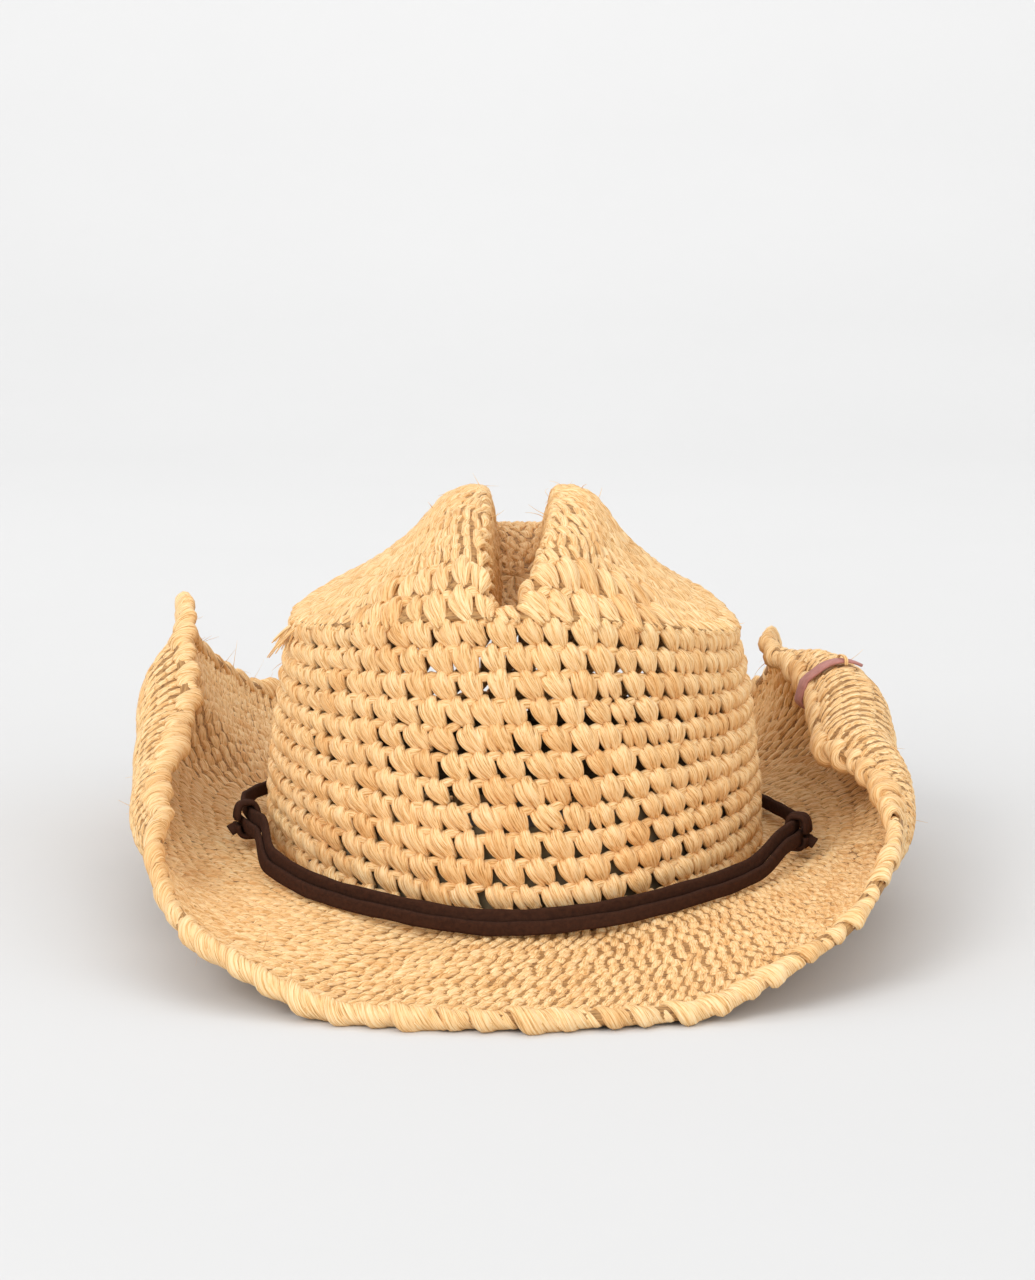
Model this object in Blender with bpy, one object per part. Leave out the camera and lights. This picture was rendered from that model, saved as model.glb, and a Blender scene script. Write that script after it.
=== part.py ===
"""Crocheted raffia cowboy hat with a wired, curled brim and an adjustable suede lace band.

The hat rests on the front and back of its brim.  X is ear to ear, -Y is the front, Z is up.
Angles run round the crown: 0 is the front, +90 the wearer's left ear (+X), 180 the back.
"""

import bmesh
import bpy
from math import cos, degrees, hypot, pi, radians, sin

MM = 0.001

# ---------------------------------------------------------------- driving dimensions (mm)
CROWN_HALF_WIDTH = 83.2       # middle of the crochet where the crown meets the brim
CROWN_HALF_LENGTH = 100.0
CROWN_TOP_SHARE = 0.89        # size of the crown's shoulder compared with its base
CROWN_TAPER_POWER = 1.8
CROCHET = 3.2                 # thickness of the crocheted fabric
GAP = 0.3                     # clearance between neighbouring pieces
SEAM_GAP = 0.9                # clearance where two crocheted pieces meet on a slant

SHOULDER_FRONT = 106.5        # height of the crown's shoulder above the table at front and back
SHOULDER_DIP = 15.0           # how much lower the shoulder is at the ears
SHOULDER_TILT = 1.5           # the shoulder is this much lower at +X than the mean, higher at -X

# The brim, one row every 15 degrees: angle, width over the edge, slope leaving the crown,
# slope at the edge, how late the curl comes (1 is an even curl), and how much higher the
# crown's base is here than at the front.
BRIM_STATIONS = (
    (-165, 94, -1.6, 0, 1.0, 0.0),
    (-150, 94, 4, 40, 2.0, 3.6),
    (-135, 88, 4, 56, 1.0, 7.4),
    (-120, 94, 6, 84, 0.8, 10.9),
    (-105, 100, 6, 152, 1.8, 13.4),
    (-90, 86, 4, 192, 2.4, 14.4),
    (-75, 76, 0, 176, 3.0, 13.4),
    (-60, 76, -2, 160, 4.0, 10.9),
    (-45, 80, 0, 66, 3.2, 7.4),
    (-30, 93, 2, 18, 3.2, 3.6),
    (-15, 94, -1.6, 0, 1.0, 0.0),
    (0, 94, -1.6, 0, 1.0, 0.0),
    (15, 94, -1.6, 0, 1.0, 0.0),
    (30, 93, 2, 18, 3.2, 3.6),
    (45, 87, 2, 74, 4.0, 5.9),
    (60, 82, 2, 144, 4.4, 7.7),
    (75, 90, 4, 220, 3.2, 8.9),
    (90, 102, 2, 252, 2.2, 9.4),
    (105, 111, 12, 256, 2.55, 8.9),
    (120, 112, 14, 236, 2.9, 7.7),
    (135, 94, 4, 126, 1.7, 5.9),
    (150, 92, 4, 58, 3.2, 3.6),
    (165, 94, -1.6, 0, 1.0, 0.0),
    (180, 94, -1.6, 0, 1.0, 0.0),
)

# The crown's top, front to back: share of its length, rise of the two ridges and of the
# crease between them above the shoulder, distance of a ridge from the crease's middle, and
# how far that middle wanders to +X.
CREASE_STATIONS = (
    (0.00, 0.0, 0.0, 8.0, -4.0),
    (0.06, 12.0, -1.0, 13.0, -2.5),
    (0.15, 22.0, -5.0, 15.5, 0.0),
    (0.28, 28.0, -7.0, 17.0, 1.5),
    (0.42, 30.0, -6.0, 17.5, 2.0),
    (0.56, 28.0, 3.0, 18.0, 2.0),
    (0.70, 22.0, 11.0, 20.0, 1.5),
    (0.85, 10.0, 7.0, 22.0, 1.0),
    (1.00, 0.0, 0.0, 20.0, 0.0),
)
CREASE_WALL = (0.28, 0.64)    # where the crease's side starts and ends, as a share of the ridge
RIDGE_ROUND = (-0.12, 0.35)   # shares of the outer slope over which the ridge's top is rounded
MAX_RIDGE_SHARE = 0.8         # a ridge stays within this share of the half width
MAX_CREASE_SHARE = 0.15       # and the crease's middle within this one
MIN_HALF_WIDTH = 1.0
OUTER_SLOPE_POWER = 1.3       # above 1 the outer slope is steepest near the ridge
MAX_UPRIGHT_THICKNESS = 8.0   # thickness measured straight down, on the steep sides of the crease

# The rope-like last round, folded over the brim's edge with the wire inside it.
EDGE_HALF_HEIGHT = 3.5
EDGE_CHAMFER = 1.4
EDGE_OVERHANG = 4.0           # how far it stands out past the crocheted fabric
EDGE_LAP = 1.0                # how far it laps back over the fabric
CHANNEL_HALF_HEIGHT = 2.4
CHANNEL_END = 3.6
EDGE_END = EDGE_OVERHANG + 1.3

WIRE_CENTRE = 1.8             # past the fabric's edge, inside the channel
WIRE_RADIUS = 0.8
WIRE_END_ANGLE = 0.3          # degrees between each wire end and the centre back
SLEEVE_RADIUS = 1.5
SLEEVE_HALF_LENGTH = 5.0

BAND_BOTTOM = 3.0             # sweatband, above the crown's base
BAND_TOP = 35.0
BAND_THICKNESS = 1.0
BAND_END_ANGLE = 0.3          # degrees between each end of the strip and the centre back
TAPE_HALF_ANGLE = 4.0         # the tape over the strip's join
TAPE_BOTTOM = 9.0
TAPE_TOP = 34.0
TAPE_THICKNESS = 0.6
THREAD_HEIGHT = 5.5           # row of stitching that holds the sweatband
THREAD_SIZE = 0.8

# The lace, seen from above, about a point just in front of the crown's middle.  Where it is
# tied it follows true arcs about that point, and each knot slides along its own arc.
LACE_CENTRE_Y = -6.0
LACE_STATIONS = (             # angle, distance from that point, height above the table
    (-180, 110.6, 13.0), (-160, 107.6, 14.0), (-135, 98.8, 19.5), (-120, 94.2, 23.5),
    (-105, 92.0, 26.0), (-95, 92.5, 27.5), (-84, 94.6, 28.6), (-75, 95.5, 29.0),
    (-64, 95.5, 29.0), (-52, 101.5, 21.5), (-30, 103.5, 16.0), (0, 101.0, 11.0),
    (30, 101.5, 15.6), (52, 101.2, 19.6), (64, 101.0, 25.0), (75, 101.0, 25.0),
    (84, 98.5, 24.6), (95, 93.5, 23.6), (105, 92.0, 23.2), (120, 94.2, 22.0),
    (135, 98.8, 19.2), (160, 107.6, 14.6),
)
LACE_THICKNESS = 1.8
LACE_HEIGHT = 4.6
LACE_SPREAD = 1.2             # each strand is this far from the path, one inside and one outside
LACE_STAGGER = 1.7            # the inner strand is this much higher, the outer one lower
LACE_END_ANGLE = 73.5         # the ends of the lace, just behind the knots
LACE_CROSSING = (115.0, 245.0)    # where the outer run moves in and becomes the inner one
LACE_STEP = 5.0               # degrees between cross-sections
KNOT_ANGLE = 71.0
KNOT_HALF_LENGTH = 2.3
KNOT_HALF_OPENING = (2.8, 4.8)    # across and up
KNOT_SQUARENESS = 6               # 2 would make the loop an ellipse
KNOT_WALL = 1.4
KNOT_STUB = 2.2                   # extra thickness where the tied end sticks out
KNOT_STUB_TURN = 5.5              # radians round the loop, from outward over the top
KNOT_STUB_POWER = 8               # the higher, the narrower the stub
KNOT_CORNERS = 16

TAG_ANGLE = 110.0
TAG_WIDTH = 6.2
TAG_THICKNESS = 1.2
TAG_LENGTH = 20.0             # along the brim, on each side of the edge
TAG_CLEARANCE = 1.4
TAG_RAMP = 2.0                # length over which the tag climbs onto the edge round
TAG_BEVEL = 0.5
TAG_STEPS = 6                 # cross-sections on the flat part of each side
STITCH_DISTANCE = 14.0        # from the edge of the fabric to the stitch through the tag
STITCH_SIZE = 0.8

AROUND = 72                   # cross-sections round the hat
BRIM_ROWS = 13
BRIM_ROW_POWER = 0.8          # below 1 the rows are closer together towards the edge
WIRE_CORNERS = 6
SLEEVE_CORNERS = 8
WALL_ROWS = 5
TOP_ROWS = 26
CREASE_COLUMNS = (0.2, 0.32, 0.42, 0.52, 0.64, 1.0)   # shares of the way up to a ridge
SLOPE_COLUMNS = (0.2, 0.4, 0.6, 0.8, 1.0)            # shares of the way down to the shoulder
CURVE_STEPS = 60              # steps used to add up the brim's curve

# The table's zero point is under the middle of the finished hat.
CENTRE_X = -0.4
CENTRE_Y = 0.0


# ---------------------------------------------------------------- curves shared by the pieces
def rate_at(keys, values, i):
    """Slope of the smooth curve at station i: level wherever the stations turn or stand still."""
    if i == 0 or i == len(keys) - 1:
        return 0.0
    before = (values[i] - values[i - 1]) / (keys[i] - keys[i - 1])
    after = (values[i + 1] - values[i]) / (keys[i + 1] - keys[i])
    if before * after <= 0.0:
        return 0.0
    return 2.0 * before * after / (before + after)


def along(stations, x):
    """Values at x of a smooth curve through the stations that never overshoots them."""
    keys = [row[0] for row in stations]
    i = 0
    while i < len(keys) - 2 and x > keys[i + 1]:
        i += 1
    span = keys[i + 1] - keys[i]
    f = (x - keys[i]) / span
    found = []
    for column in range(1, len(stations[0])):
        values = [row[column] for row in stations]
        start = (2 * f ** 3 - 3 * f ** 2 + 1) * values[i]
        start_rate = (f ** 3 - 2 * f ** 2 + f) * span * rate_at(keys, values, i)
        end = (3 * f ** 2 - 2 * f ** 3) * values[i + 1]
        end_rate = (f ** 3 - f ** 2) * span * rate_at(keys, values, i + 1)
        found.append(start + start_rate + end + end_rate)
    return found


def round_the_hat(stations):
    """Repeat the first and last stations one turn away, so the curve closes."""
    before = tuple((row[0] - 360,) + tuple(row[1:]) for row in stations[-2:])
    after = tuple((row[0] + 360,) + tuple(row[1:]) for row in stations[:2])
    return before + tuple(stations) + after


BRIM_LOOP = round_the_hat(BRIM_STATIONS)
LACE_LOOP = round_the_hat(LACE_STATIONS)


def one_turn(angle):
    """The same direction between -180 and 180 degrees."""
    return (angle + 180.0) % 360.0 - 180.0


def ease(start, end, x):
    """Smooth change from 0 to 1 between start and end."""
    share = min(max((x - start) / (end - start), 0.0), 1.0)
    return share * share * (3.0 - 2.0 * share)


def outward(angle):
    """Horizontal direction square to the crown's oval."""
    x = CROWN_HALF_LENGTH * sin(radians(angle))
    y = -CROWN_HALF_WIDTH * cos(radians(angle))
    size = hypot(x, y)
    return x / size, y / size


def oval(angle, share=1.0, offset=0.0):
    """Point of the crown's oval, resized by share and moved outward by offset."""
    nx, ny = outward(angle)
    x = share * CROWN_HALF_WIDTH * sin(radians(angle)) + offset * nx
    y = -share * CROWN_HALF_LENGTH * cos(radians(angle)) + offset * ny
    return x, y


def brim_curve(angle, distance):
    """How far out and up the brim is at a distance along it, and its slope there."""
    width, first, last, lateness, _ = along(BRIM_LOOP, one_turn(angle))
    fabric = width - EDGE_OVERHANG
    reach = min(max(distance, 0.0), fabric)
    step = reach / CURVE_STEPS
    out = up = 0.0
    for i in range(CURVE_STEPS):
        share = (i + 0.5) * step / fabric
        slope = radians(first + (last - first) * share ** lateness)
        out += step * cos(slope)
        up += step * sin(slope)
    slope = radians(first + (last - first) * (reach / fabric) ** lateness)
    beyond = distance - reach
    return out + beyond * cos(slope), up + beyond * sin(slope), slope


def fabric_width(angle):
    return along(BRIM_LOOP, one_turn(angle))[0] - EDGE_OVERHANG


# The front of the brim comes down to the table, which sets the height of the crown's base.
FRONT_BASE = EDGE_HALF_HEIGHT - brim_curve(0.0, fabric_width(0.0))[1]


def base_height(angle):
    return FRONT_BASE + along(BRIM_LOOP, one_turn(angle))[4]


def shoulder_height(angle):
    side = sin(radians(angle))
    return SHOULDER_FRONT - SHOULDER_DIP * side ** 2 - SHOULDER_TILT * side ** 3


def brim_point(angle, distance, offset):
    """Point at a distance along the brim from the crown, lifted off its middle by offset."""
    out, up, slope = brim_curve(angle, distance)
    nx, ny = outward(angle)
    x, y = oval(angle)
    reach = out - offset * sin(slope)
    return x + nx * reach, y + ny * reach, base_height(angle) + up + offset * cos(slope)


def wall_point(angle, height, offset):
    """Point of the crown's wall at a height above its base, moved outward by offset."""
    base = base_height(angle)
    share = min(max(height / (shoulder_height(angle) - base), 0.0), 1.0)
    size = 1.0 - (1.0 - CROWN_TOP_SHARE) * share ** CROWN_TAPER_POWER
    x, y = oval(angle, size, offset)
    return x, y, base + height


TOP_HALF_WIDTH = CROWN_HALF_WIDTH * CROWN_TOP_SHARE + CROCHET / 2
TOP_HALF_LENGTH = CROWN_HALF_LENGTH * CROWN_TOP_SHARE + CROCHET / 2


def top_across(y):
    """The crown's oval at y, as a share of its widest place."""
    return max(1.0 - (y / TOP_HALF_LENGTH) ** 2, 0.0) ** 0.5


def crease_at(y):
    """Heights of ridges and crease at y, the spacing and middle of the ridges, and half the width."""
    share = min(max((y / TOP_HALF_LENGTH + 1.0) / 2.0, 0.0), 1.0)
    ridge, floor, spacing, sideways = along(CREASE_STATIONS, share)
    half = max(TOP_HALF_WIDTH * top_across(y), MIN_HALF_WIDTH)
    spacing = min(spacing, MAX_RIDGE_SHARE * half)
    limit = MAX_CREASE_SHARE * half
    return ridge, floor, spacing, max(min(sideways, limit), -limit), half


def top_height(x, y):
    """Height of the crown's top: two ridges with a deep crease between them."""
    ridge, floor, spacing, sideways, half = crease_at(y)
    side = top_across(y) if x > 0 else -top_across(y)
    edge = SHOULDER_FRONT - SHOULDER_DIP * side ** 2 - SHOULDER_TILT * side ** 3
    off_middle = abs(x - sideways)
    if off_middle < spacing:
        climb = ease(CREASE_WALL[0], CREASE_WALL[1], off_middle / spacing)
        return SHOULDER_FRONT + floor + (ridge - floor) * climb
    crest_x = sideways + (spacing if x > sideways else -spacing)
    down = min(abs(x - crest_x) / (half - abs(crest_x)), 1.0)
    rounding = ease(RIDGE_ROUND[0], RIDGE_ROUND[1], down)
    fall = (1.0 - (1.0 - down) ** OUTER_SLOPE_POWER) * rounding
    crest = SHOULDER_FRONT + ridge
    return crest + (edge - crest) * fall


def upright_thickness(x, y):
    """Thickness of the crocheted top measured straight down at this slope."""
    reach = 1.0
    along_x = (top_height(x + reach, y) - top_height(x - reach, y)) / (2 * reach)
    along_y = (top_height(x, y + reach) - top_height(x, y - reach)) / (2 * reach)
    return min(CROCHET * (1.0 + along_x ** 2 + along_y ** 2) ** 0.5, MAX_UPRIGHT_THICKNESS)


# ---------------------------------------------------------------- meshes and materials
def material(name, colour, roughness, metallic=0.0):
    made = bpy.data.materials.new(name)
    made.use_nodes = True
    shader = made.node_tree.nodes["Principled BSDF"]
    shader.inputs["Base Color"].default_value = colour + (1.0,)
    shader.inputs["Roughness"].default_value = roughness
    shader.inputs["Metallic"].default_value = metallic
    return made


def solid(name, points, faces, look, pivot=(0.0, 0.0, 0.0)):
    """One closed body in world metres, its origin on the pivot (given in mm)."""
    corners = []
    for x, y, z in points:
        corners.append(((x - pivot[0]) * MM, (y - pivot[1]) * MM, (z - pivot[2]) * MM))
    mesh = bpy.data.meshes.new(name)
    mesh.from_pydata(corners, [], faces)
    mesh.materials.append(look)
    mesh.polygons.foreach_set("use_smooth", [True] * len(mesh.polygons))
    shape = bmesh.new()
    shape.from_mesh(mesh)
    bmesh.ops.recalc_face_normals(shape, faces=shape.faces)
    shape.to_mesh(mesh)
    shape.free()
    made = bpy.data.objects.new(name, mesh)
    moved = (pivot[0] + CENTRE_X, pivot[1] + CENTRE_Y, pivot[2])
    made.location = tuple(value * MM for value in moved)
    bpy.context.scene.collection.objects.link(made)
    return made


def loft(name, sections, look, closed, pivot=(0.0, 0.0, 0.0)):
    """A body skinned over cross-sections with equal numbers of corners."""
    size = len(sections[0])
    points = [point for section in sections for point in section]
    faces = []
    spans = len(sections) if closed else len(sections) - 1
    for i in range(spans):
        here = i * size
        there = (i + 1) % len(sections) * size
        for k in range(size):
            m = (k + 1) % size
            faces.append((here + k, here + m, there + m, there + k))
    if not closed:
        last = (len(sections) - 1) * size
        faces.append(tuple(reversed(range(size))))
        faces.append(tuple(last + k for k in range(size)))
    return solid(name, points, faces, look, pivot)


def ring_angles():
    return [360.0 * i / AROUND - 180.0 for i in range(AROUND)]


def strip_angles(end_angle):
    """Angles of an open ring whose two ends face each other at the centre back."""
    inner = [angle for angle in ring_angles() if angle > -180.0]
    return [-180.0 + end_angle] + inner + [180.0 - end_angle]


# ---------------------------------------------------------------- crocheted pieces
def top_columns(y):
    """Places across the crown's top that follow its ridges and crease, from -X to +X."""
    _, _, spacing, sideways, half = crease_at(y)
    columns = [sideways]
    for side in (-1, 1):
        crest = sideways + side * spacing
        columns += [sideways + side * spacing * share for share in CREASE_COLUMNS]
        columns += [crest + (side * half - crest) * share for share in SLOPE_COLUMNS]
    return sorted(columns)


def crown_top(look):
    rows = []
    for k in range(TOP_ROWS):
        y = -TOP_HALF_LENGTH * cos(pi * (k + 0.5) / TOP_ROWS)
        rows.append([(x, y) for x in top_columns(y)])
    across = len(rows[0])
    points = []
    for side in (1, -1):
        for k, row in enumerate(rows):
            for m, (x, y) in enumerate(row):
                on_rim = k in (0, TOP_ROWS - 1) or m in (0, across - 1)
                half = (CROCHET if on_rim else upright_thickness(x, y)) / 2
                points.append((x, y, top_height(x, y) + side * half))
    under = TOP_ROWS * across
    faces = []
    for k in range(TOP_ROWS - 1):
        for m in range(across - 1):
            a = k * across + m
            faces.append((a, a + 1, a + across + 1, a + across))
            faces.append(tuple(under + i for i in (a, a + across, a + across + 1, a + 1)))
    rim = list(range(across))
    rim += [k * across + across - 1 for k in range(1, TOP_ROWS)]
    rim += [under - 2 - m for m in range(across - 1)]
    rim += [k * across for k in range(TOP_ROWS - 2, 0, -1)]
    for here, there in zip(rim, rim[1:] + rim[:1]):
        faces.append((here, under + here, under + there, there))
    return solid("crown_top", points, faces, look)


def crown_wall(look):
    sections = []
    for angle in ring_angles():
        bottom = CROCHET / 2 + SEAM_GAP
        top = shoulder_height(angle) - base_height(angle) - CROCHET / 2 - SEAM_GAP
        levels = [bottom + (top - bottom) * k / WALL_ROWS for k in range(WALL_ROWS + 1)]
        outside = [wall_point(angle, level, CROCHET / 2) for level in levels]
        inside = [wall_point(angle, level, -CROCHET / 2) for level in reversed(levels)]
        sections.append(outside + inside)
    return loft("crown_wall", sections, look, closed=True)


def brim(look):
    sections = []
    for angle in ring_angles():
        width = fabric_width(angle)
        rows = [width * (k / BRIM_ROWS) ** BRIM_ROW_POWER for k in range(BRIM_ROWS + 1)]
        rows = [-CROCHET / 2] + rows[1:]
        under = [brim_point(angle, row, -CROCHET / 2) for row in rows]
        over = [brim_point(angle, row, CROCHET / 2) for row in reversed(rows)]
        sections.append(under + over)
    return loft("brim", sections, look, closed=True)


def brim_edge_round(look):
    outline = (
        (-EDGE_LAP, -EDGE_HALF_HEIGHT),
        (EDGE_END - EDGE_CHAMFER, -EDGE_HALF_HEIGHT),
        (EDGE_END, -EDGE_HALF_HEIGHT + EDGE_CHAMFER),
        (EDGE_END, EDGE_HALF_HEIGHT - EDGE_CHAMFER),
        (EDGE_END - EDGE_CHAMFER, EDGE_HALF_HEIGHT),
        (-EDGE_LAP, EDGE_HALF_HEIGHT),
        (-EDGE_LAP, CHANNEL_HALF_HEIGHT),
        (CHANNEL_END, CHANNEL_HALF_HEIGHT),
        (CHANNEL_END, -CHANNEL_HALF_HEIGHT),
        (-EDGE_LAP, -CHANNEL_HALF_HEIGHT),
    )
    sections = []
    for angle in ring_angles():
        width = fabric_width(angle)
        sections.append([brim_point(angle, width + past, offset) for past, offset in outline])
    return loft("brim_edge_round", sections, look, closed=True)


# ---------------------------------------------------------------- pieces inside the hat
def brim_wire(look):
    sections = []
    for angle in strip_angles(WIRE_END_ANGLE):
        width = fabric_width(angle)
        section = []
        for k in range(WIRE_CORNERS):
            turn = 2.0 * pi * k / WIRE_CORNERS
            past = WIRE_CENTRE + WIRE_RADIUS * sin(turn)
            section.append(brim_point(angle, width + past, -WIRE_RADIUS * cos(turn)))
        sections.append(section)
    return loft("brim_wire", sections, look, closed=False)


def wire_sleeve(look):
    """Short tube crimped over the two ends of the wire at the centre back."""
    x, y, z = brim_point(180.0, fabric_width(180.0) + WIRE_CENTRE, 0.0)
    sections = []
    bore = WIRE_RADIUS + GAP
    outline = (
        (-SLEEVE_HALF_LENGTH, SLEEVE_RADIUS), (SLEEVE_HALF_LENGTH, SLEEVE_RADIUS),
        (SLEEVE_HALF_LENGTH, bore), (-SLEEVE_HALF_LENGTH, bore),
    )
    for k in range(SLEEVE_CORNERS):
        turn = 2.0 * pi * k / SLEEVE_CORNERS
        section = []
        for shift, radius in outline:
            section.append((x + shift, y + radius * sin(turn), z + radius * cos(turn)))
        sections.append(section)
    return loft("wire_sleeve", sections, look, closed=True)


def inside_band(name, angles, bottom, top, surface, thickness, look):
    """Flat strip that lies against the inside of the crown, surface mm in from its middle."""
    sections = []
    for angle in angles:
        section = []
        for level, depth in ((bottom, 0), (top, 0), (top, thickness), (bottom, thickness)):
            section.append(wall_point(angle, level, -surface - depth))
        sections.append(section)
    return loft(name, sections, look, closed=False)


def sweatband(look):
    surface = CROCHET / 2 + GAP
    angles = strip_angles(BAND_END_ANGLE)
    return inside_band("sweatband", angles, BAND_BOTTOM, BAND_TOP, surface, BAND_THICKNESS, look)


def sweatband_tape(look):
    surface = CROCHET / 2 + 2 * GAP + BAND_THICKNESS
    angles = [180.0 - TAPE_HALF_ANGLE, 180.0, 180.0 + TAPE_HALF_ANGLE]
    thick = TAPE_THICKNESS
    return inside_band("sweatband_tape", angles, TAPE_BOTTOM, TAPE_TOP, surface, thick, look)


def sweatband_thread(look):
    surface = CROCHET / 2 + 2 * GAP + BAND_THICKNESS
    sections = []
    for angle in ring_angles():
        low = THREAD_HEIGHT - THREAD_SIZE / 2
        high = THREAD_HEIGHT + THREAD_SIZE / 2
        section = []
        for level, depth in ((low, 0), (high, 0), (high, THREAD_SIZE), (low, THREAD_SIZE)):
            section.append(wall_point(angle, level, -surface - depth))
        sections.append(section)
    return loft("sweatband_thread", sections, look, closed=True)


# ---------------------------------------------------------------- lace band and its knots
def lace_point(angle, across, up):
    """Point beside the middle of the lace band: across is outward."""
    radius, level = along(LACE_LOOP, one_turn(angle))
    x = (radius + across) * sin(radians(angle))
    y = LACE_CENTRE_Y - (radius + across) * cos(radians(angle))
    return x, y, level + up


def lace_section(angle, strand):
    """Cross-section of the lace; strand runs from +1 on the outer run to -1 on the inner."""
    section = []
    for side, rise in ((1, -1), (1, 1), (-1, 1), (-1, -1)):
        across = strand * LACE_SPREAD + side * LACE_THICKNESS / 2
        up = rise * LACE_HEIGHT / 2 - strand * LACE_STAGGER
        section.append(lace_point(angle, across, up))
    return section


def lace(look):
    """One lace, once and a half round the crown: doubled at the front, single at the back."""
    first = -LACE_END_ANGLE
    last = 360.0 + LACE_END_ANGLE
    steps = round((last - first) / LACE_STEP)
    sections = []
    for i in range(steps + 1):
        angle = first + (last - first) * i / steps
        crossed = ease(LACE_CROSSING[0], LACE_CROSSING[1], angle)
        sections.append(lace_section(angle, 1.0 - 2.0 * crossed))
    return loft("band_lace", sections, look, closed=False)


def knot(name, angle, look):
    """The tied end of the lace: a loop round both strands, with a short stub at the outside."""
    half_across, half_up = KNOT_HALF_OPENING
    swing = degrees(KNOT_HALF_LENGTH / along(LACE_LOOP, angle)[0])
    sections = []
    for k in range(KNOT_CORNERS):
        turn = 2.0 * pi * k / KNOT_CORNERS
        square = cos(turn) ** KNOT_SQUARENESS + sin(turn) ** KNOT_SQUARENESS
        reach = square ** (-1.0 / KNOT_SQUARENESS)
        stub = max(cos(turn - KNOT_STUB_TURN), 0.0) ** KNOT_STUB_POWER
        wall = KNOT_WALL + KNOT_STUB * stub
        section = []
        for side, thickness in ((-1, 0.0), (1, 0.0), (1, wall), (-1, wall)):
            across = (half_across + thickness) * reach * cos(turn)
            up = (half_up + thickness) * reach * sin(turn)
            section.append(lace_point(angle + side * swing, across, up))
        sections.append(section)
    level = along(LACE_LOOP, angle)[1]
    return loft(name, sections, look, closed=True, pivot=(0.0, LACE_CENTRE_Y, level))


# ---------------------------------------------------------------- leather tag on the edge
def tag_section(near, far):
    """Cross-section of the tag between two places on the brim, each a distance and an offset."""
    nx, ny = outward(TAG_ANGLE)
    section = []
    for side, place in ((-1, near), (1, near), (1, far), (-1, far)):
        x, y, z = brim_point(TAG_ANGLE, place[0], place[1])
        across = side * TAG_WIDTH / 2
        section.append((x - across * ny, y + across * nx, z))
    return section


def leather_tag(look):
    """Strip folded over the edge of the brim, from its outer side round to its inner side."""
    width = fabric_width(TAG_ANGLE)
    flat = CROCHET / 2 + TAG_CLEARANCE
    over = EDGE_HALF_HEIGHT + TAG_CLEARANCE
    ramp_end = -EDGE_LAP - TAG_CLEARANCE
    ramp_start = ramp_end - TAG_RAMP
    corner = EDGE_HALF_HEIGHT - EDGE_CHAMFER
    path = []
    for k in range(TAG_STEPS + 1):
        past = -TAG_LENGTH + (TAG_LENGTH + ramp_start) * k / TAG_STEPS
        path.append((past, flat, past, flat + TAG_THICKNESS))
    path.append((ramp_end, over, ramp_end - TAG_BEVEL, over + TAG_THICKNESS))
    bend = EDGE_END - EDGE_CHAMFER
    path.append((bend, over, bend + TAG_BEVEL, over + TAG_THICKNESS))
    turn = EDGE_END + TAG_CLEARANCE
    path.append((turn, corner, turn + TAG_THICKNESS, corner + TAG_BEVEL))
    sections = []
    for mirror, half in ((-1, path), (1, reversed(path))):
        for near_past, near_up, far_past, far_up in half:
            near = (width + near_past, mirror * near_up)
            far = (width + far_past, mirror * far_up)
            sections.append(tag_section(near, far))
    return loft("leather_tag", sections, look, closed=False)


def tag_stitch(name, mirror, look):
    """One raffia stitch across the tag, its two ends going down to the crochet."""
    distance = fabric_width(TAG_ANGLE) - STITCH_DISTANCE
    foot = CROCHET / 2 + TAG_CLEARANCE
    top = CROCHET / 2 + TAG_CLEARANCE + TAG_THICKNESS + GAP
    inside = TAG_WIDTH / 2 + GAP
    outside = inside + STITCH_SIZE
    path = (
        (-inside, foot, -outside, foot), (-inside, top, -outside, top + STITCH_SIZE),
        (inside, top, outside, top + STITCH_SIZE), (inside, foot, outside, foot),
    )
    nx, ny = outward(TAG_ANGLE)
    sections = []
    for near_side, near_up, far_side, far_up in path:
        section = []
        for shift, far in ((-1, False), (1, False), (1, True), (-1, True)):
            across = far_side if far else near_side
            up = far_up if far else near_up
            along_brim = distance + shift * STITCH_SIZE * mirror
            x, y, z = brim_point(TAG_ANGLE, along_brim, mirror * up)
            section.append((x - across * ny, y + across * nx, z))
        sections.append(section)
    return loft(name, sections, look, closed=False)


# ---------------------------------------------------------------- the hat
def clear_scene():
    for item in list(bpy.data.objects):
        bpy.data.objects.remove(item, do_unlink=True)


def build():
    clear_scene()
    raffia = material("raffia", (0.80, 0.56, 0.30), 0.7)
    steel = material("galvanised_steel", (0.55, 0.56, 0.58), 0.35, 1.0)
    cotton = material("cotton_band", (0.22, 0.18, 0.10), 0.9)
    thread = material("sewing_thread", (0.72, 0.56, 0.36), 0.8)
    suede = material("brown_suede", (0.045, 0.018, 0.010), 0.85)
    leather = material("mauve_leather", (0.38, 0.14, 0.12), 0.55)
    crown_top(raffia)
    crown_wall(raffia)
    brim(raffia)
    brim_edge_round(raffia)
    brim_wire(steel)
    wire_sleeve(steel)
    sweatband(cotton)
    sweatband_tape(cotton)
    sweatband_thread(thread)
    leather_tag(leather)
    tag_stitch("tag_stitch_outer", -1, raffia)
    tag_stitch("tag_stitch_inner", 1, raffia)
    lace(suede)
    knot("knot_left", -KNOT_ANGLE, suede)
    knot("knot_right", KNOT_ANGLE, suede)


build()
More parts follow.
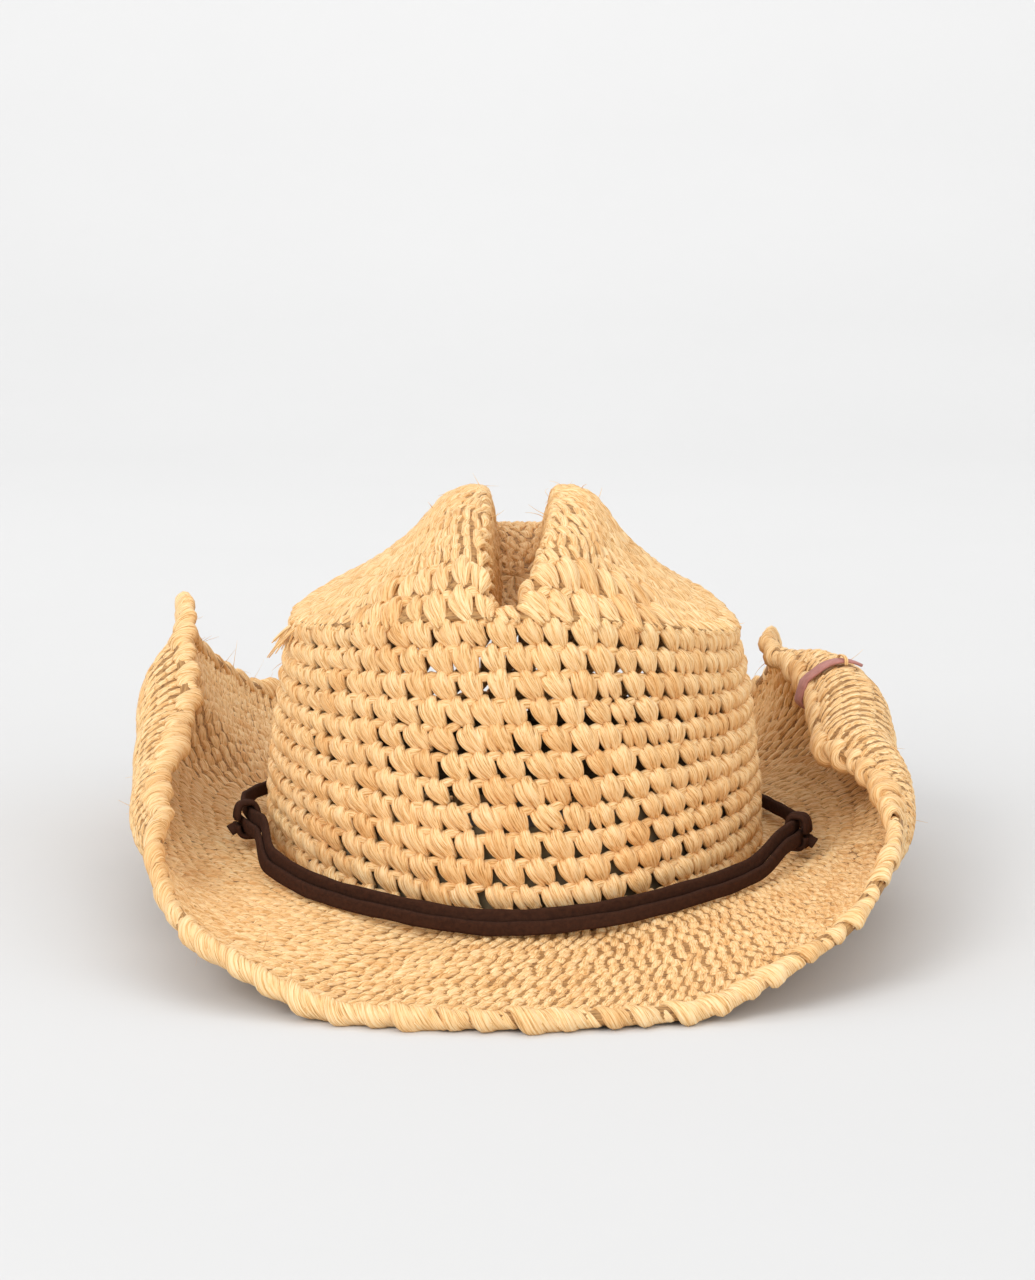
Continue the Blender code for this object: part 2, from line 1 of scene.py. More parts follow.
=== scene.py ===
"""Looks of a crocheted raffia cowboy hat with a suede lace band.

Every stitch is made of its own flattened strands, worked round by round over the same surfaces
as the CAD pieces.  Lengths are in mm and angles in degrees until a mesh is made.  X is ear to
ear, -Y is the front and Z is up; angle 0 is the front of the hat and +90 is its +X side.
"""
import bpy
import numpy as np
from mathutils import Euler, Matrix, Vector


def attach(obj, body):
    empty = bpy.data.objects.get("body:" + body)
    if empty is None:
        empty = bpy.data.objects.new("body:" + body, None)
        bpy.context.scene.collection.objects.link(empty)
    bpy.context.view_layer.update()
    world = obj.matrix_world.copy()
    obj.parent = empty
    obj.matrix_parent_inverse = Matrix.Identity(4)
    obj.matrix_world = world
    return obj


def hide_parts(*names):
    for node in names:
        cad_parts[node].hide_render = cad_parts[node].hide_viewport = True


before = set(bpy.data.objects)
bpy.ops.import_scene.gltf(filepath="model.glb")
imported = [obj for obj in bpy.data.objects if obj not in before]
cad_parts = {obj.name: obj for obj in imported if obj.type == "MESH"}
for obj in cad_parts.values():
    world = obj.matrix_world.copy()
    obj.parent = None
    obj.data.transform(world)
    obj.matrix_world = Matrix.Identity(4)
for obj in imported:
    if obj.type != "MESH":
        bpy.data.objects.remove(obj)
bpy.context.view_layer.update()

rng = np.random.default_rng(7)
MM = 0.001

# -------------------- the hat's shape (as the CAD)
CROWN_HALF_WIDTH = 83.2
CROWN_HALF_LENGTH = 100.0
CROWN_TOP_SHARE = 0.89
CROWN_TAPER_POWER = 1.8
CROCHET = 3.2
SHOULDER_FRONT = 106.5
SHOULDER_DIP = 15.0
SHOULDER_TILT = 1.5

# angle, width over the edge, slope at the crown, slope at the edge, lateness, rise of the base
BRIM_STATIONS = (
    (-165, 94, -1.6, 0, 1.0, 0.0),
    (-150, 94, 4, 40, 2.0, 3.6),
    (-135, 88, 4, 56, 1.0, 7.4),
    (-120, 94, 6, 84, 0.8, 10.9),
    (-105, 100, 6, 152, 1.8, 13.4),
    (-90, 86, 4, 192, 2.4, 14.4),
    (-75, 76, 0, 176, 3.0, 13.4),
    (-60, 76, -2, 160, 4.0, 10.9),
    (-45, 80, 0, 66, 3.2, 7.4),
    (-30, 93, 2, 18, 3.2, 3.6),
    (-15, 94, -1.6, 0, 1.0, 0.0),
    (0, 94, -1.6, 0, 1.0, 0.0),
    (15, 94, -1.6, 0, 1.0, 0.0),
    (30, 93, 2, 18, 3.2, 3.6),
    (45, 87, 2, 74, 4.0, 5.9),
    (60, 82, 2, 144, 4.4, 7.7),
    (75, 90, 4, 220, 3.2, 8.9),
    (90, 102, 2, 252, 2.2, 9.4),
    (105, 111, 12, 256, 2.55, 8.9),
    (120, 112, 14, 236, 2.9, 7.7),
    (135, 94, 4, 126, 1.7, 5.9),
    (150, 92, 4, 58, 3.2, 3.6),
    (165, 94, -1.6, 0, 1.0, 0.0),
    (180, 94, -1.6, 0, 1.0, 0.0),
)

# share of the crown's length, ridge rise, crease rise, ridge spacing, crease's place across
CREASE_STATIONS = (
    (0.00, 0.0, 0.0, 8.0, -4.0),
    (0.06, 12.0, -1.0, 13.0, -2.5),
    (0.15, 22.0, -5.0, 15.5, 0.0),
    (0.28, 28.0, -7.0, 17.0, 1.5),
    (0.42, 30.0, -6.0, 17.5, 2.0),
    (0.56, 28.0, 3.0, 18.0, 2.0),
    (0.70, 22.0, 11.0, 20.0, 1.5),
    (0.85, 10.0, 7.0, 22.0, 1.0),
    (1.00, 0.0, 0.0, 20.0, 0.0),
)
CREASE_WALL = (0.42, 0.70)  # a little wider than the CAD's, because the strands stand out
RIDGE_ROUND = (-0.12, 0.35)
MAX_RIDGE_SHARE = 0.8
MAX_CREASE_SHARE = 0.15
MIN_HALF_WIDTH = 1.0
OUTER_SLOPE_POWER = 1.3

EDGE_HALF_HEIGHT = 3.5
EDGE_OVERHANG = 4.0

LACE_CENTRE_Y = -6.0
LACE_STATIONS = (
    (-180, 110.6, 13.0), (-160, 107.6, 14.0), (-135, 98.8, 19.5), (-120, 94.2, 23.5),
    (-105, 92.0, 26.0), (-95, 92.5, 27.5), (-84, 94.6, 28.6), (-75, 95.5, 29.0),
    (-64, 95.5, 29.0), (-52, 101.5, 21.5), (-30, 103.5, 16.0), (0, 101.0, 11.0),
    (30, 101.5, 15.6), (52, 101.2, 19.6), (64, 101.0, 25.0), (75, 101.0, 25.0),
    (84, 98.5, 24.6), (95, 93.5, 23.6), (105, 92.0, 23.2), (120, 94.2, 22.0),
    (135, 98.8, 19.2), (160, 107.6, 14.6),
)
LACE_THICKNESS = 1.8
LACE_HEIGHT = 4.6
LACE_SPREAD = 1.2
LACE_STAGGER = 1.7
LACE_END_ANGLE = 73.5
LACE_CROSSING = (115.0, 245.0)
KNOT_ANGLE = 71.0
KNOT_HALF_OPENING = (2.8, 4.8)

TAG_ANGLE = 110.0
TAG_WIDTH = 6.2
TAG_THICKNESS = 1.2
TAG_LENGTH = 20.0
STITCH_DISTANCE = 14.0

CENTRE_X = -0.4

# -------------------- how it is crocheted
SAMPLES = 720  # places round the hat at which the surfaces are worked out
ANGLES = np.arange(SAMPLES) * 360.0 / SAMPLES - 180.0
FINE = 6  # rows of those places in each round
TOP_STEPS = 500  # steps from shoulder to middle when the top's slopes are measured
UPWARD = (0.0, 0.0, 1.0)
GRAIN_LENGTH = 900.0  # each strand's grain starts at a random place along this length
GRAIN_STEP = 37.0  # between the grains of the strands of one stitch

# a pitch is a stitch's nominal width and height
WALL_ROUNDS = 12
WALL_STITCHES = 60
WALL_PITCH = (9.7, 8.6)
BRIM_ROUNDS = 19
BRIM_PITCH = (4.6, 4.8)
TOP_ROUNDS = 21
TOP_PITCH = (4.4, 4.6)
TOP_END = 0.985  # the rounds stop this far in from the shoulder to the middle
OPEN_TOP_ROUNDS = 4  # at the front these are taken up by fewer, larger, more open ones
OPEN_TOP_LARGE_ROUNDS = 2
OPEN_TOP_STITCHES = 58
OPEN_TOP_ARC = 48.0  # which reach this far round from the front on both sides

# how far the left strand's foot is split off in an open stitch, and the stitch's lean
OPEN_STITCHES = ((0.2, 4.4), (0.6, 4.8), (1.6, 4.6), (0.0, 4.0), (2.8, 4.8), (0.8, 5.2))
# place across the stitch, half width, lift and bend (1 is straight) of its main strands
MAIN_STRANDS = ((-1.0, 2.2, -0.4, 1.7), (0.0, 2.5, 0.2, 1.4), (1.0, 2.2, -0.3, 1.0))
MAIN_SHAPE = {"flatness": 0.62, "bulge": 1.9, "pinch": 0.5, "taper": 0.5, "corners": 8, "steps": 9}
# place across the stitch, half width and lift of the thinner strands over them
OVER_STRANDS = ((-0.75, 0.8, 1.1), (0.3, 1.0, 1.5), (0.9, 0.7, 0.9))
OVER_SHAPE = {"flatness": 0.4, "bulge": 1.5, "pinch": 0.5, "taper": 0.5, "corners": 6, "steps": 8}
OVER_BEND = 1.2
OVER_SPLIT = 0.5  # shares of the stitch's split and lean
OVER_LEAN = 0.8
STITCH_TOP_X = -1.3  # an open stitch starts left of its middle, as it leans to the right
# spacing of the strands' tops, height of the middle one and fall to each side
MAIN_TOPS = (2.6, 4.6, 1.3)
OVER_TOPS = (2.4, 4.3, 1.6)
# how much their feet draw together, height of the middle one and rise to the right
MAIN_FEET = (2.1, -5.2, 0.3)
OVER_FEET = (1.2, -2.9, -0.8)
# the link to the next stitch: its start, the way to its end, and the arch between them
LINK_START = (0.6, 1.9, -0.5)
LINK_RUN = (6.2, 1.0, 0.0)
LINK_ARCH = (0.0, 0.4, 1.0)
LINK_HALF_WIDTH = (0.9, 0.9)  # at its ends, and how much more in the middle
LINK_HALF_THICKNESS = (0.6, 0.7)

# lean to each side, how much wider the bottom is, and how far the strands are out of step
TOP_STITCHES = ((1.5, 0.0, 0.1), (1.1, 0.3, -0.1), (0.5, 0.4, 0.2), (-0.9, 0.1, 0.1))
BRIM_STITCHES = (
    (1.9, 0.0, 0.1), (1.5, 0.2, -0.1), (2.2, -0.1, 0.15), (1.1, 0.2, 0.1), (2.0, 0.1, 0.0),
)
CLOSE_SHAPE = {"flatness": 1.0, "bulge": 0.7, "pinch": 0.72, "taper": 0.0, "corners": 7, "steps": 7}
CLOSE_LIFT = -0.2
CLOSE_HALF_WIDTH = 0.34  # shares of the pair's width
CLOSE_SPACING = 0.9
CLOSE_TOP = 0.70  # shares of the row's height
CLOSE_BOTTOM = 0.64

WALL_UNTIDY = 1.0
TOP_UNTIDY = 1.3
OPEN_TOP_UNTIDY = 1.4
BRIM_UNTIDY = 0.8
# standard deviations between stitches, for an untidiness of 1
PLACE_SPREAD = 0.05  # shares of a stitch's width and of its size
SIZE_SPREAD = 0.05
LEAN_SPREAD = 6.0
ROW_SPREAD = 0.2
LIFT_SPREAD = 0.15
# an open round's start, in stitches: the step from round to round, and its spread
ROUND_STEP = 0.5
ROUND_SPREAD = 0.08

TOP_CORE = (0.6, 4)  # half thickness, and every how many places it has a column
BRIM_CORE = (0.8, 3)
# painted shade: the darker stitch tone given to the shade-coloured backing and edge core
PAINTED_SHADE_CORE_TONE = 0.3

# half width, reach as a share of the full reach, and shift along the edge of each lobe
LOBES = ((3.3, 1.0, -2.6), (2.7, 1.1, 1.2), (2.0, 0.9, 4.8))
LOBE_PITCH = 11.4
LOBE_REACH = 10.0
LOBE_WRAP = 160.0  # degrees round the edge to each side
LOBE_STEPS = 12
LOBE_PLACE_SPREAD = 0.09  # standard deviations between lobes
LOBE_SIZE_SPREAD = 0.1
LOBE_PAST_SPREAD = 0.25
SCALLOP = 1.0  # how far the edge swings in and out with each lobe
EDGE_CORE = (1.2, 2.6, 2.4)  # how far past the edge, half width and half thickness

FIBRE_LIFT = 1.4
FIBRE_HALF_WIDTH = 0.22
FIBRE_BEND = 0.35
FLOOR_GAP = 0.3
BRIM_FIBRES = (300, 13.0)  # how many, and the longest one
TOP_FIBRES = (70, 8.0)
WALL_FIBRES = (40, 6.0)
TUFT_ANGLE = -80.0  # a few straw ends hang loose from the shoulder here
TUFT_STRANDS = 16
TUFT_LENGTH = 12.0
TUFT_HEADING = (-0.75, -0.35, -0.65)
TUFT_DROOP = 1.8
TUFT_HALF_WIDTH = 0.75

# -------------------- cloth, suede and leather
# levels are above the wall's base and depths inside its middle surface
SWEATBAND_LEVELS = (3.0, 35.0)
SWEATBAND_DEPTHS = (2.1, 2.9)
SWEATBAND_RIBS = (0.12, 2.4)  # height of a rib, and radians of rib for each mm
SWEATBAND_END = 179.7
# level and depth round the tape's section
TAPE_SECTION = (
    (9.0, 3.4), (9.4, 3.3), (33.6, 3.3), (34.0, 3.4), (34.0, 3.6), (33.6, 3.9), (9.4, 3.9), (9.0, 3.6),
)
TAPE_ANGLES = (176.0, 184.0)
THREAD_STITCHES = 150
THREAD_SHARE = 0.78  # of each stitch's length that shows
THREAD_LEVEL = 5.5
THREAD_DEPTH = 2.95
THREAD_RISE = 0.5
THREAD_HALF_SIZES = (0.38, 0.3)

# size, rate and start of the lace's small irregularities along its run
LACE_SWAYS = ((0.15, 0.21, 0.0), (0.1, 0.53, 1.0))
LACE_TILT = (0.12, 0.11, 0.0)
LACE_SWELL = (0.03, 0.9, 0.0)
LACE_SQUARENESS = 5.0
# shift along the lace, spread round it and lean of each turn of a knot
KNOT_TURNS = ((-1.6, 0.5, 0.8), (1.4, 0.8, -0.9))
KNOT_SQUARENESS = 4.0
KNOT_CORNER_POWER = 0.6  # below 1 squares the turns' loops
KNOT_RADIUS = 98.0  # the lace's mean radius at the two knots
KNOT_HALF_SIZES = (2.1, 0.9)
STUB_START = -2.6  # below the lace's middle
STUB_LENGTH = 3.2
STUB_DROP = 1.2
STUB_HALF_SIZES = (2.1, 0.8)

TAG_FLAT_LIFT = 2.9  # off the fabric's middle
TAG_OVER_LIFT = 4.7  # over the edge round
TAG_RAMP = 6.0
TAG_BEND = (4.4, 2.6)  # where its bend past the edge starts, and how far out that goes
TAG_END_NARROWING = (0.35, 1.2)  # share off its width at the ends, and how soon that fades
TAG_STITCHES = (
    ("tag_raffia_outer", -1, "tag_stitch_outer"), ("tag_raffia_inner", 1, "tag_stitch_inner"),
)
TAG_STITCH_STEPS = 12
TAG_STITCH_OVERHANG = 0.9
TAG_STITCH_LIFTS = (1.8, 3.0)
TAG_STITCH_HALF_SIZES = (0.75, 0.35)

# -------------------- looks
# light, tint and dark
RAFFIA = ((0.99, 0.79, 0.49), (0.94, 0.62, 0.30), (0.68, 0.36, 0.12))
# painted shade: much darker straw for the layers under tight crochet and round the edge, so the gaps
# between strands look shaded
RAFFIA_CORE_PAINTED_SHADE = ((0.60, 0.35, 0.14), (0.44, 0.24, 0.09), (0.21, 0.10, 0.035))
RAFFIA_LINES = (0.16, 2.4, 2.4)  # per mm along, across and through each strand
RAFFIA_RIDGES = (0.12, 3.4, 3.4)
RAFFIA_ROUGHNESS = 0.62
RAFFIA_GLOSS = 0.3
# places and colours of the stitches' own tones, from the darkest stitch to the palest
TONES = (
    (0.0, (0.90, 0.80, 0.68)), (0.25, (0.96, 0.93, 0.88)),
    (0.7, (1.0, 1.0, 1.0)), (1.0, (1.0, 1.0, 0.97)),
)
# light and dark colour, roughness, size of the grain (per metre) and its strength
SUEDE = ((0.056, 0.022, 0.012), (0.030, 0.012, 0.007), 0.95, 700.0, 0.5)
LEATHER = ((0.50, 0.23, 0.20), (0.38, 0.16, 0.135), 0.6, 400.0, 0.4)
COTTON = ((0.20, 0.15, 0.08), (0.13, 0.10, 0.055), 0.95, 500.0, 0.4)
THREAD = ((0.72, 0.56, 0.36), (0.6, 0.44, 0.26), 0.8, 900.0, 0.3)
STEEL = ((0.62, 0.63, 0.65), (0.45, 0.46, 0.48), 0.38, 900.0, 0.2)
PAPER = ((0.64, 0.64, 0.64), (0.63, 0.63, 0.63), 0.9, 3.0, 0.0)

# -------------------- studio, in metres
SWEEP_HALF_WIDTH = 4.0
SWEEP_PROFILE = (
    (-3.0, 0.0), (1.2, 0.0), (1.6, 0.06), (1.9, 0.2), (2.1, 0.42), (2.2, 0.75), (2.2, 3.5),
)
# name, place, aim, size and power
LAMPS = (
    ("key", (-1.2, -1.5, 1.35), (0.0, 0.0, 0.08), 1.1, 22.0),
    ("fill", (1.4, -1.4, 0.9), (0.0, 0.0, 0.08), 1.4, 8.0),
    ("backdrop", (0.0, 0.7, 1.9), (0.0, 2.2, 0.8), 1.5, 16.0),
)
WORLD_STRENGTH = 1.0
CAMERA_PLACE = (0.0006, -1.182, 0.292)
CAMERA_TILT = 80.0
CAMERA_LENS = 97.8
CAMERA_SENSOR = 36.0


# -------------------- curves
def along(stations, x):
    """Values at x of the smooth curve through the stations, one array for each column."""
    table = np.array(stations, dtype=float)
    keys, values = table[:, 0], table[:, 1:]
    chords = np.diff(values, axis=0) / np.diff(keys)[:, None]
    before, after = chords[:-1], chords[1:]
    same_way = before * after > 0.0
    total = np.where(same_way, before + after, 1.0)
    rates = np.zeros_like(values)
    rates[1:-1] = np.where(same_way, 2.0 * before * after / total, 0.0)
    x = np.asarray(x, dtype=float)
    flat = x.ravel()
    i = np.clip(np.searchsorted(keys, flat) - 1, 0, len(keys) - 2)
    span = (keys[i + 1] - keys[i])[:, None]
    f = (flat - keys[i])[:, None] / span
    found = (2 * f ** 3 - 3 * f ** 2 + 1) * values[i]
    found += (f ** 3 - 2 * f ** 2 + f) * span * rates[i]
    found += (3 * f ** 2 - 2 * f ** 3) * values[i + 1]
    found += (f ** 3 - f ** 2) * span * rates[i + 1]
    return [column.reshape(x.shape) for column in found.T]


def round_the_hat(stations):
    """Repeat the first and last stations one turn away, so the curve closes."""
    before = tuple((row[0] - 360,) + tuple(row[1:]) for row in stations[-2:])
    after = tuple((row[0] + 360,) + tuple(row[1:]) for row in stations[:2])
    return before + tuple(stations) + after


BRIM_LOOP = round_the_hat(BRIM_STATIONS)
LACE_LOOP = round_the_hat(LACE_STATIONS)


def one_turn(angle):
    """The same direction between -180 and 180 degrees."""
    return (np.asarray(angle) + 180.0) % 360.0 - 180.0


def ease(start, end, x):
    """Smooth change from 0 to 1 between start and end."""
    share = np.clip((x - start) / (end - start), 0.0, 1.0)
    return share * share * (3.0 - 2.0 * share)


def directions(angle):
    """Horizontal unit vectors square to the crown's oval."""
    x = CROWN_HALF_LENGTH * np.sin(np.radians(angle))
    y = -CROWN_HALF_WIDTH * np.cos(np.radians(angle))
    size = np.hypot(x, y)
    return x / size, y / size


def base_height(angle):
    return FRONT_BASE + along(BRIM_LOOP, one_turn(angle))[4]


def shoulder_height(angle):
    side = np.sin(np.radians(angle))
    return SHOULDER_FRONT - SHOULDER_DIP * side ** 2 - SHOULDER_TILT * side ** 3


def brim_profile(angle, steps):
    """How far out and up the brim is at equal steps from crown to edge, and its final slope."""
    width, first, last, lateness, _ = along(BRIM_LOOP, one_turn(angle))
    step = (width - EDGE_OVERHANG) / steps
    share = (np.arange(steps)[:, None] + 0.5) / steps
    slope = np.radians(first + (last - first) * share ** lateness)
    level = np.zeros((1, np.size(angle)))
    out = np.concatenate([level, np.cumsum(np.cos(slope) * step, axis=0)])
    up = np.concatenate([level, np.cumsum(np.sin(slope) * step, axis=0)])
    return out, up, np.radians(last)


FRONT_BASE = EDGE_HALF_HEIGHT - brim_profile(np.zeros(1), 60)[1][-1, 0]


def wall_place(angle, height, offset):
    """Points of the crown's wall at heights above its base, moved outward by offset."""
    base = base_height(angle)
    share = np.clip(height / (shoulder_height(angle) - base), 0.0, 1.0)
    size = 1.0 - (1.0 - CROWN_TOP_SHARE) * share ** CROWN_TAPER_POWER
    nx, ny = directions(angle)
    x = size * CROWN_HALF_WIDTH * np.sin(np.radians(angle)) + offset * nx
    y = -size * CROWN_HALF_LENGTH * np.cos(np.radians(angle)) + offset * ny
    return np.stack(np.broadcast_arrays(x, y, base + height), axis=-1)


TOP_HALF_WIDTH = CROWN_HALF_WIDTH * CROWN_TOP_SHARE + CROCHET / 2
TOP_HALF_LENGTH = CROWN_HALF_LENGTH * CROWN_TOP_SHARE + CROCHET / 2


def top_height(x, y):
    """Height of the crown's top: two ridges with a deep crease between them."""
    place = np.clip((y / TOP_HALF_LENGTH + 1.0) / 2.0, 0.0, 1.0)
    ridge, floor, spacing, sideways = along(CREASE_STATIONS, place)
    across = np.sqrt(np.maximum(1.0 - (y / TOP_HALF_LENGTH) ** 2, 0.0))
    half = np.maximum(TOP_HALF_WIDTH * across, MIN_HALF_WIDTH)
    spacing = np.minimum(spacing, MAX_RIDGE_SHARE * half)
    sideways = np.clip(sideways, -MAX_CREASE_SHARE * half, MAX_CREASE_SHARE * half)
    side = np.where(x > 0, across, -across)
    edge = SHOULDER_FRONT - SHOULDER_DIP * side ** 2 - SHOULDER_TILT * side ** 3
    off_middle = np.abs(x - sideways)
    climb = ease(CREASE_WALL[0], CREASE_WALL[1], off_middle / spacing)
    crease = SHOULDER_FRONT + floor + (ridge - floor) * climb
    crest_x = sideways + np.where(x > sideways, spacing, -spacing)
    down = np.minimum(np.abs(x - crest_x) / (half - np.abs(crest_x)), 1.0)
    rounding = ease(RIDGE_ROUND[0], RIDGE_ROUND[1], down)
    fall = (1.0 - (1.0 - down) ** OUTER_SLOPE_POWER) * rounding
    crest = SHOULDER_FRONT + ridge
    return np.where(off_middle < spacing, crease, crest + (edge - crest) * fall)


# -------------------- surfaces to crochet on
class Sheet:
    """A surface as rows of points from its first round to its last, closed round the hat."""

    def __init__(self, points, side):
        self.points = points
        self.side = side
        around = np.roll(points, -1, axis=1) - np.roll(points, 1, axis=1)
        across = np.gradient(points, axis=0)
        normals = side * np.cross(around, across)
        self.normals = normals / np.linalg.norm(normals, axis=2, keepdims=True)
        step = np.linalg.norm(np.roll(points, -1, axis=1) - points, axis=2)
        start = np.zeros((len(points), 1))
        self.lengths = np.concatenate([start, np.cumsum(step, axis=1)], axis=1)

    def column(self, row, share):
        """Where a share of the way along a row is, counted in columns."""
        lengths = self.lengths[row]
        return np.interp(share % 1.0, lengths / lengths[-1], np.arange(SAMPLES + 1))

    def sample(self, table, row, column):
        """Values of a table of the sheet between its rows and columns, and a little beyond."""
        i = np.clip(np.floor(row).astype(int), 0, len(table) - 2)
        k = np.floor(column).astype(int) % SAMPLES
        f = (row - i)[..., None]
        g = (column - np.floor(column))[..., None]
        m = (k + 1) % SAMPLES
        near = table[i, k] * (1.0 - g) + table[i, m] * g
        far = table[i + 1, k] * (1.0 - g) + table[i + 1, m] * g
        return near * (1.0 - f) + far * f

    def place(self, row, column, lift):
        """Points on the sheet, lifted off it."""
        on_it = self.sample(self.points, row, column)
        return on_it + self.sample(self.normals, row, column) * lift[..., None]


def wall_sheet():
    share = np.linspace(0.0, 1.0, WALL_ROUNDS * FINE + 1)[:, None]
    height = share * (shoulder_height(ANGLES) - base_height(ANGLES))
    return Sheet(wall_place(ANGLES, height, 0.0), 1)


def top_sheet():
    """The crown's top, its rounds evenly spaced along the slopes from shoulder to middle."""
    inward = np.linspace(0.0, TOP_END, TOP_STEPS)[:, None]
    x = (1.0 - inward) * TOP_HALF_WIDTH * np.sin(np.radians(ANGLES))
    y = -(1.0 - inward) * TOP_HALF_LENGTH * np.cos(np.radians(ANGLES))
    path = np.stack([x, y, top_height(x, y)], axis=2)
    step = np.linalg.norm(np.diff(path, axis=0), axis=2)
    rows = np.linspace(0.0, 1.0, TOP_ROUNDS * FINE + 1)
    points = np.zeros((len(rows), SAMPLES, 3))
    for k in range(SAMPLES):
        length = np.concatenate([[0.0], np.cumsum(step[:, k])])
        for axis in range(3):
            points[:, k, axis] = np.interp(rows * length[-1], length, path[:, k, axis])
    return Sheet(points, 1)


def brim_sheet():
    out, up, _ = brim_profile(ANGLES, BRIM_ROUNDS * FINE)
    nx, ny = directions(ANGLES)
    base = wall_place(ANGLES, 0.0, 0.0)
    points = np.stack([base[:, 0] + nx * out, base[:, 1] + ny * out, base[:, 2] + up], axis=2)
    return Sheet(points, -1)


class Edge:
    """The brim's edge: a line with the directions past it and up off the fabric."""

    def __init__(self, sheet):
        slope = brim_profile(ANGLES, 2)[2]
        nx, ny = directions(ANGLES)
        self.line = sheet.points[-1]
        self.past = np.stack([nx * np.cos(slope), ny * np.cos(slope), np.sin(slope)], axis=1)
        self.up = np.stack([-nx * np.sin(slope), -ny * np.sin(slope), np.cos(slope)], axis=1)
        step = np.linalg.norm(np.roll(self.line, -1, axis=0) - self.line, axis=1)
        self.lengths = np.concatenate([[0.0], np.cumsum(step)])
        self.length = self.lengths[-1]

    def place(self, run, past, up):
        """Points at a run along the edge, a distance past it and a distance off the fabric."""
        column = np.interp(run % self.length, self.lengths, np.arange(SAMPLES + 1))
        k = np.floor(column).astype(int) % SAMPLES
        g = (column - np.floor(column))[..., None]
        m = (k + 1) % SAMPLES
        parts = [table[k] * (1.0 - g) + table[m] * g for table in (self.line, self.past, self.up)]
        return parts[0] + parts[1] * past[..., None] + parts[2] * up[..., None]


# -------------------- strands and piles of strands
def strand(path, facing, half_width, half_thickness, corners, squareness=2.0):
    """A flattened tube along a path with closed ends: its points, fibre places and faces."""
    path = np.asarray(path, dtype=float)
    count = len(path)
    heading = np.gradient(path, axis=0)
    heading /= np.linalg.norm(heading, axis=1, keepdims=True)
    side = np.cross(heading, np.broadcast_to(facing, path.shape))
    side /= np.linalg.norm(side, axis=1, keepdims=True)
    face = np.cross(side, heading)
    turn = 2.0 * np.pi * (np.arange(corners) + 0.5) / corners
    reach = (np.abs(np.cos(turn)) ** squareness + np.abs(np.sin(turn)) ** squareness)
    reach = reach ** (-1.0 / squareness)
    y = np.broadcast_to(half_width, (count,))[:, None] * np.cos(turn) * reach
    z = np.broadcast_to(half_thickness, (count,))[:, None] * np.sin(turn) * reach
    points = path[:, None] + side[:, None] * y[..., None] + face[:, None] * z[..., None]
    run = np.concatenate([[0.0], np.cumsum(np.linalg.norm(np.diff(path, axis=0), axis=1))])
    fibres = np.stack([np.broadcast_to(run[:, None], y.shape), y, z], axis=2)
    here = (np.arange(count - 1)[:, None] * corners + np.arange(corners)).ravel()
    after = (np.arange(count - 1)[:, None] * corners + (np.arange(corners) + 1) % corners).ravel()
    sides = np.stack([here, here + corners, after + corners, after], axis=1)
    ring = np.arange(corners)
    ends = np.stack([ring, (count - 1) * corners + ring[::-1]])
    return points.reshape(-1, 3), fibres.reshape(-1, 3), [sides, ends]


def bundle(strands):
    """Several strands as one template."""
    points, fibres, faces = [], [], []
    start = 0
    for number, (some_points, some_fibres, some_faces) in enumerate(strands):
        points.append(some_points)
        fibres.append(some_fibres + (GRAIN_STEP * number, 0.0, 0.0))
        faces += [group + start for group in some_faces]
        start += len(some_points)
    return np.concatenate(points), np.concatenate(fibres), faces


def tube_faces(around, size, joined):
    """Faces that join the first sections of a tube to the next ones, each of size points."""
    i, k = np.meshgrid(np.arange(joined), np.arange(size), indexing="ij")
    there, after = (i + 1) % around, (k + 1) % size
    faces = np.stack([i * size + k, there * size + k, there * size + after, i * size + after], axis=2)
    return faces.reshape(-1, 4)


def grain_starts(number):
    """A random place in the grain for each of some strands."""
    starts = np.zeros((number, 1, 3))
    starts[:, 0, 0] = rng.uniform(0.0, GRAIN_LENGTH, number)
    return starts


class Pile:
    """Many closed strands gathered into one mesh."""

    def __init__(self):
        self.points, self.fibres, self.shades, self.faces = [], [], [], []
        self.size = 0

    def add(self, points, fibres, faces, shades, flip=False):
        """Add copies of a template: points and fibres are (copies, corners, 3) arrays."""
        copies, corners = points.shape[:2]
        self.points.append(points.reshape(-1, 3))
        self.fibres.append(fibres.reshape(-1, 3))
        self.shades.append(np.repeat(shades, corners))
        starts = self.size + np.arange(copies)[:, None, None] * corners
        for group in faces:
            order = group[:, ::-1] if flip else group
            self.faces.append((order[None] + starts).reshape(-1, group.shape[1]))
        self.size += copies * corners

    def add_one(self, made, shade):
        """Add one strand, with a grain of its own."""
        points, fibres, faces = made
        self.add(points[None], fibres + grain_starts(1), faces, np.array([shade]))

    def mesh(self, name, look, slot, stands_for=None, body="hat"):
        """The pile as one object on a CAD body, in the place of the CAD piece it stands for."""
        points = np.concatenate(self.points) + (CENTRE_X, 0.0, 0.0)
        corners = np.concatenate([group.ravel() for group in self.faces])
        sizes = np.concatenate([np.full(len(group), group.shape[1]) for group in self.faces])
        made = bpy.data.meshes.new(name)
        made.vertices.add(len(points))
        made.vertices.foreach_set("co", (points * MM).ravel())
        made.loops.add(len(corners))
        made.loops.foreach_set("vertex_index", corners.astype(np.int32))
        made.polygons.add(len(sizes))
        made.polygons.foreach_set("loop_start", (np.cumsum(sizes) - sizes).astype(np.int32))
        made.polygons.foreach_set("loop_total", sizes.astype(np.int32))
        made.update(calc_edges=True)
        made.polygons.foreach_set("use_smooth", np.ones(len(sizes), dtype=bool))
        fibre = made.attributes.new("fibre", "FLOAT_VECTOR", "POINT")
        fibre.data.foreach_set("vector", np.concatenate(self.fibres).ravel())
        shade = made.attributes.new("shade", "FLOAT", "POINT")
        shade.data.foreach_set("value", np.concatenate(self.shades))
        made.materials.append(look)
        piece = bpy.data.objects.new(name, made)
        bpy.context.scene.collection.objects.link(piece)
        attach(piece, body)
        if stands_for:
            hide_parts(stands_for)


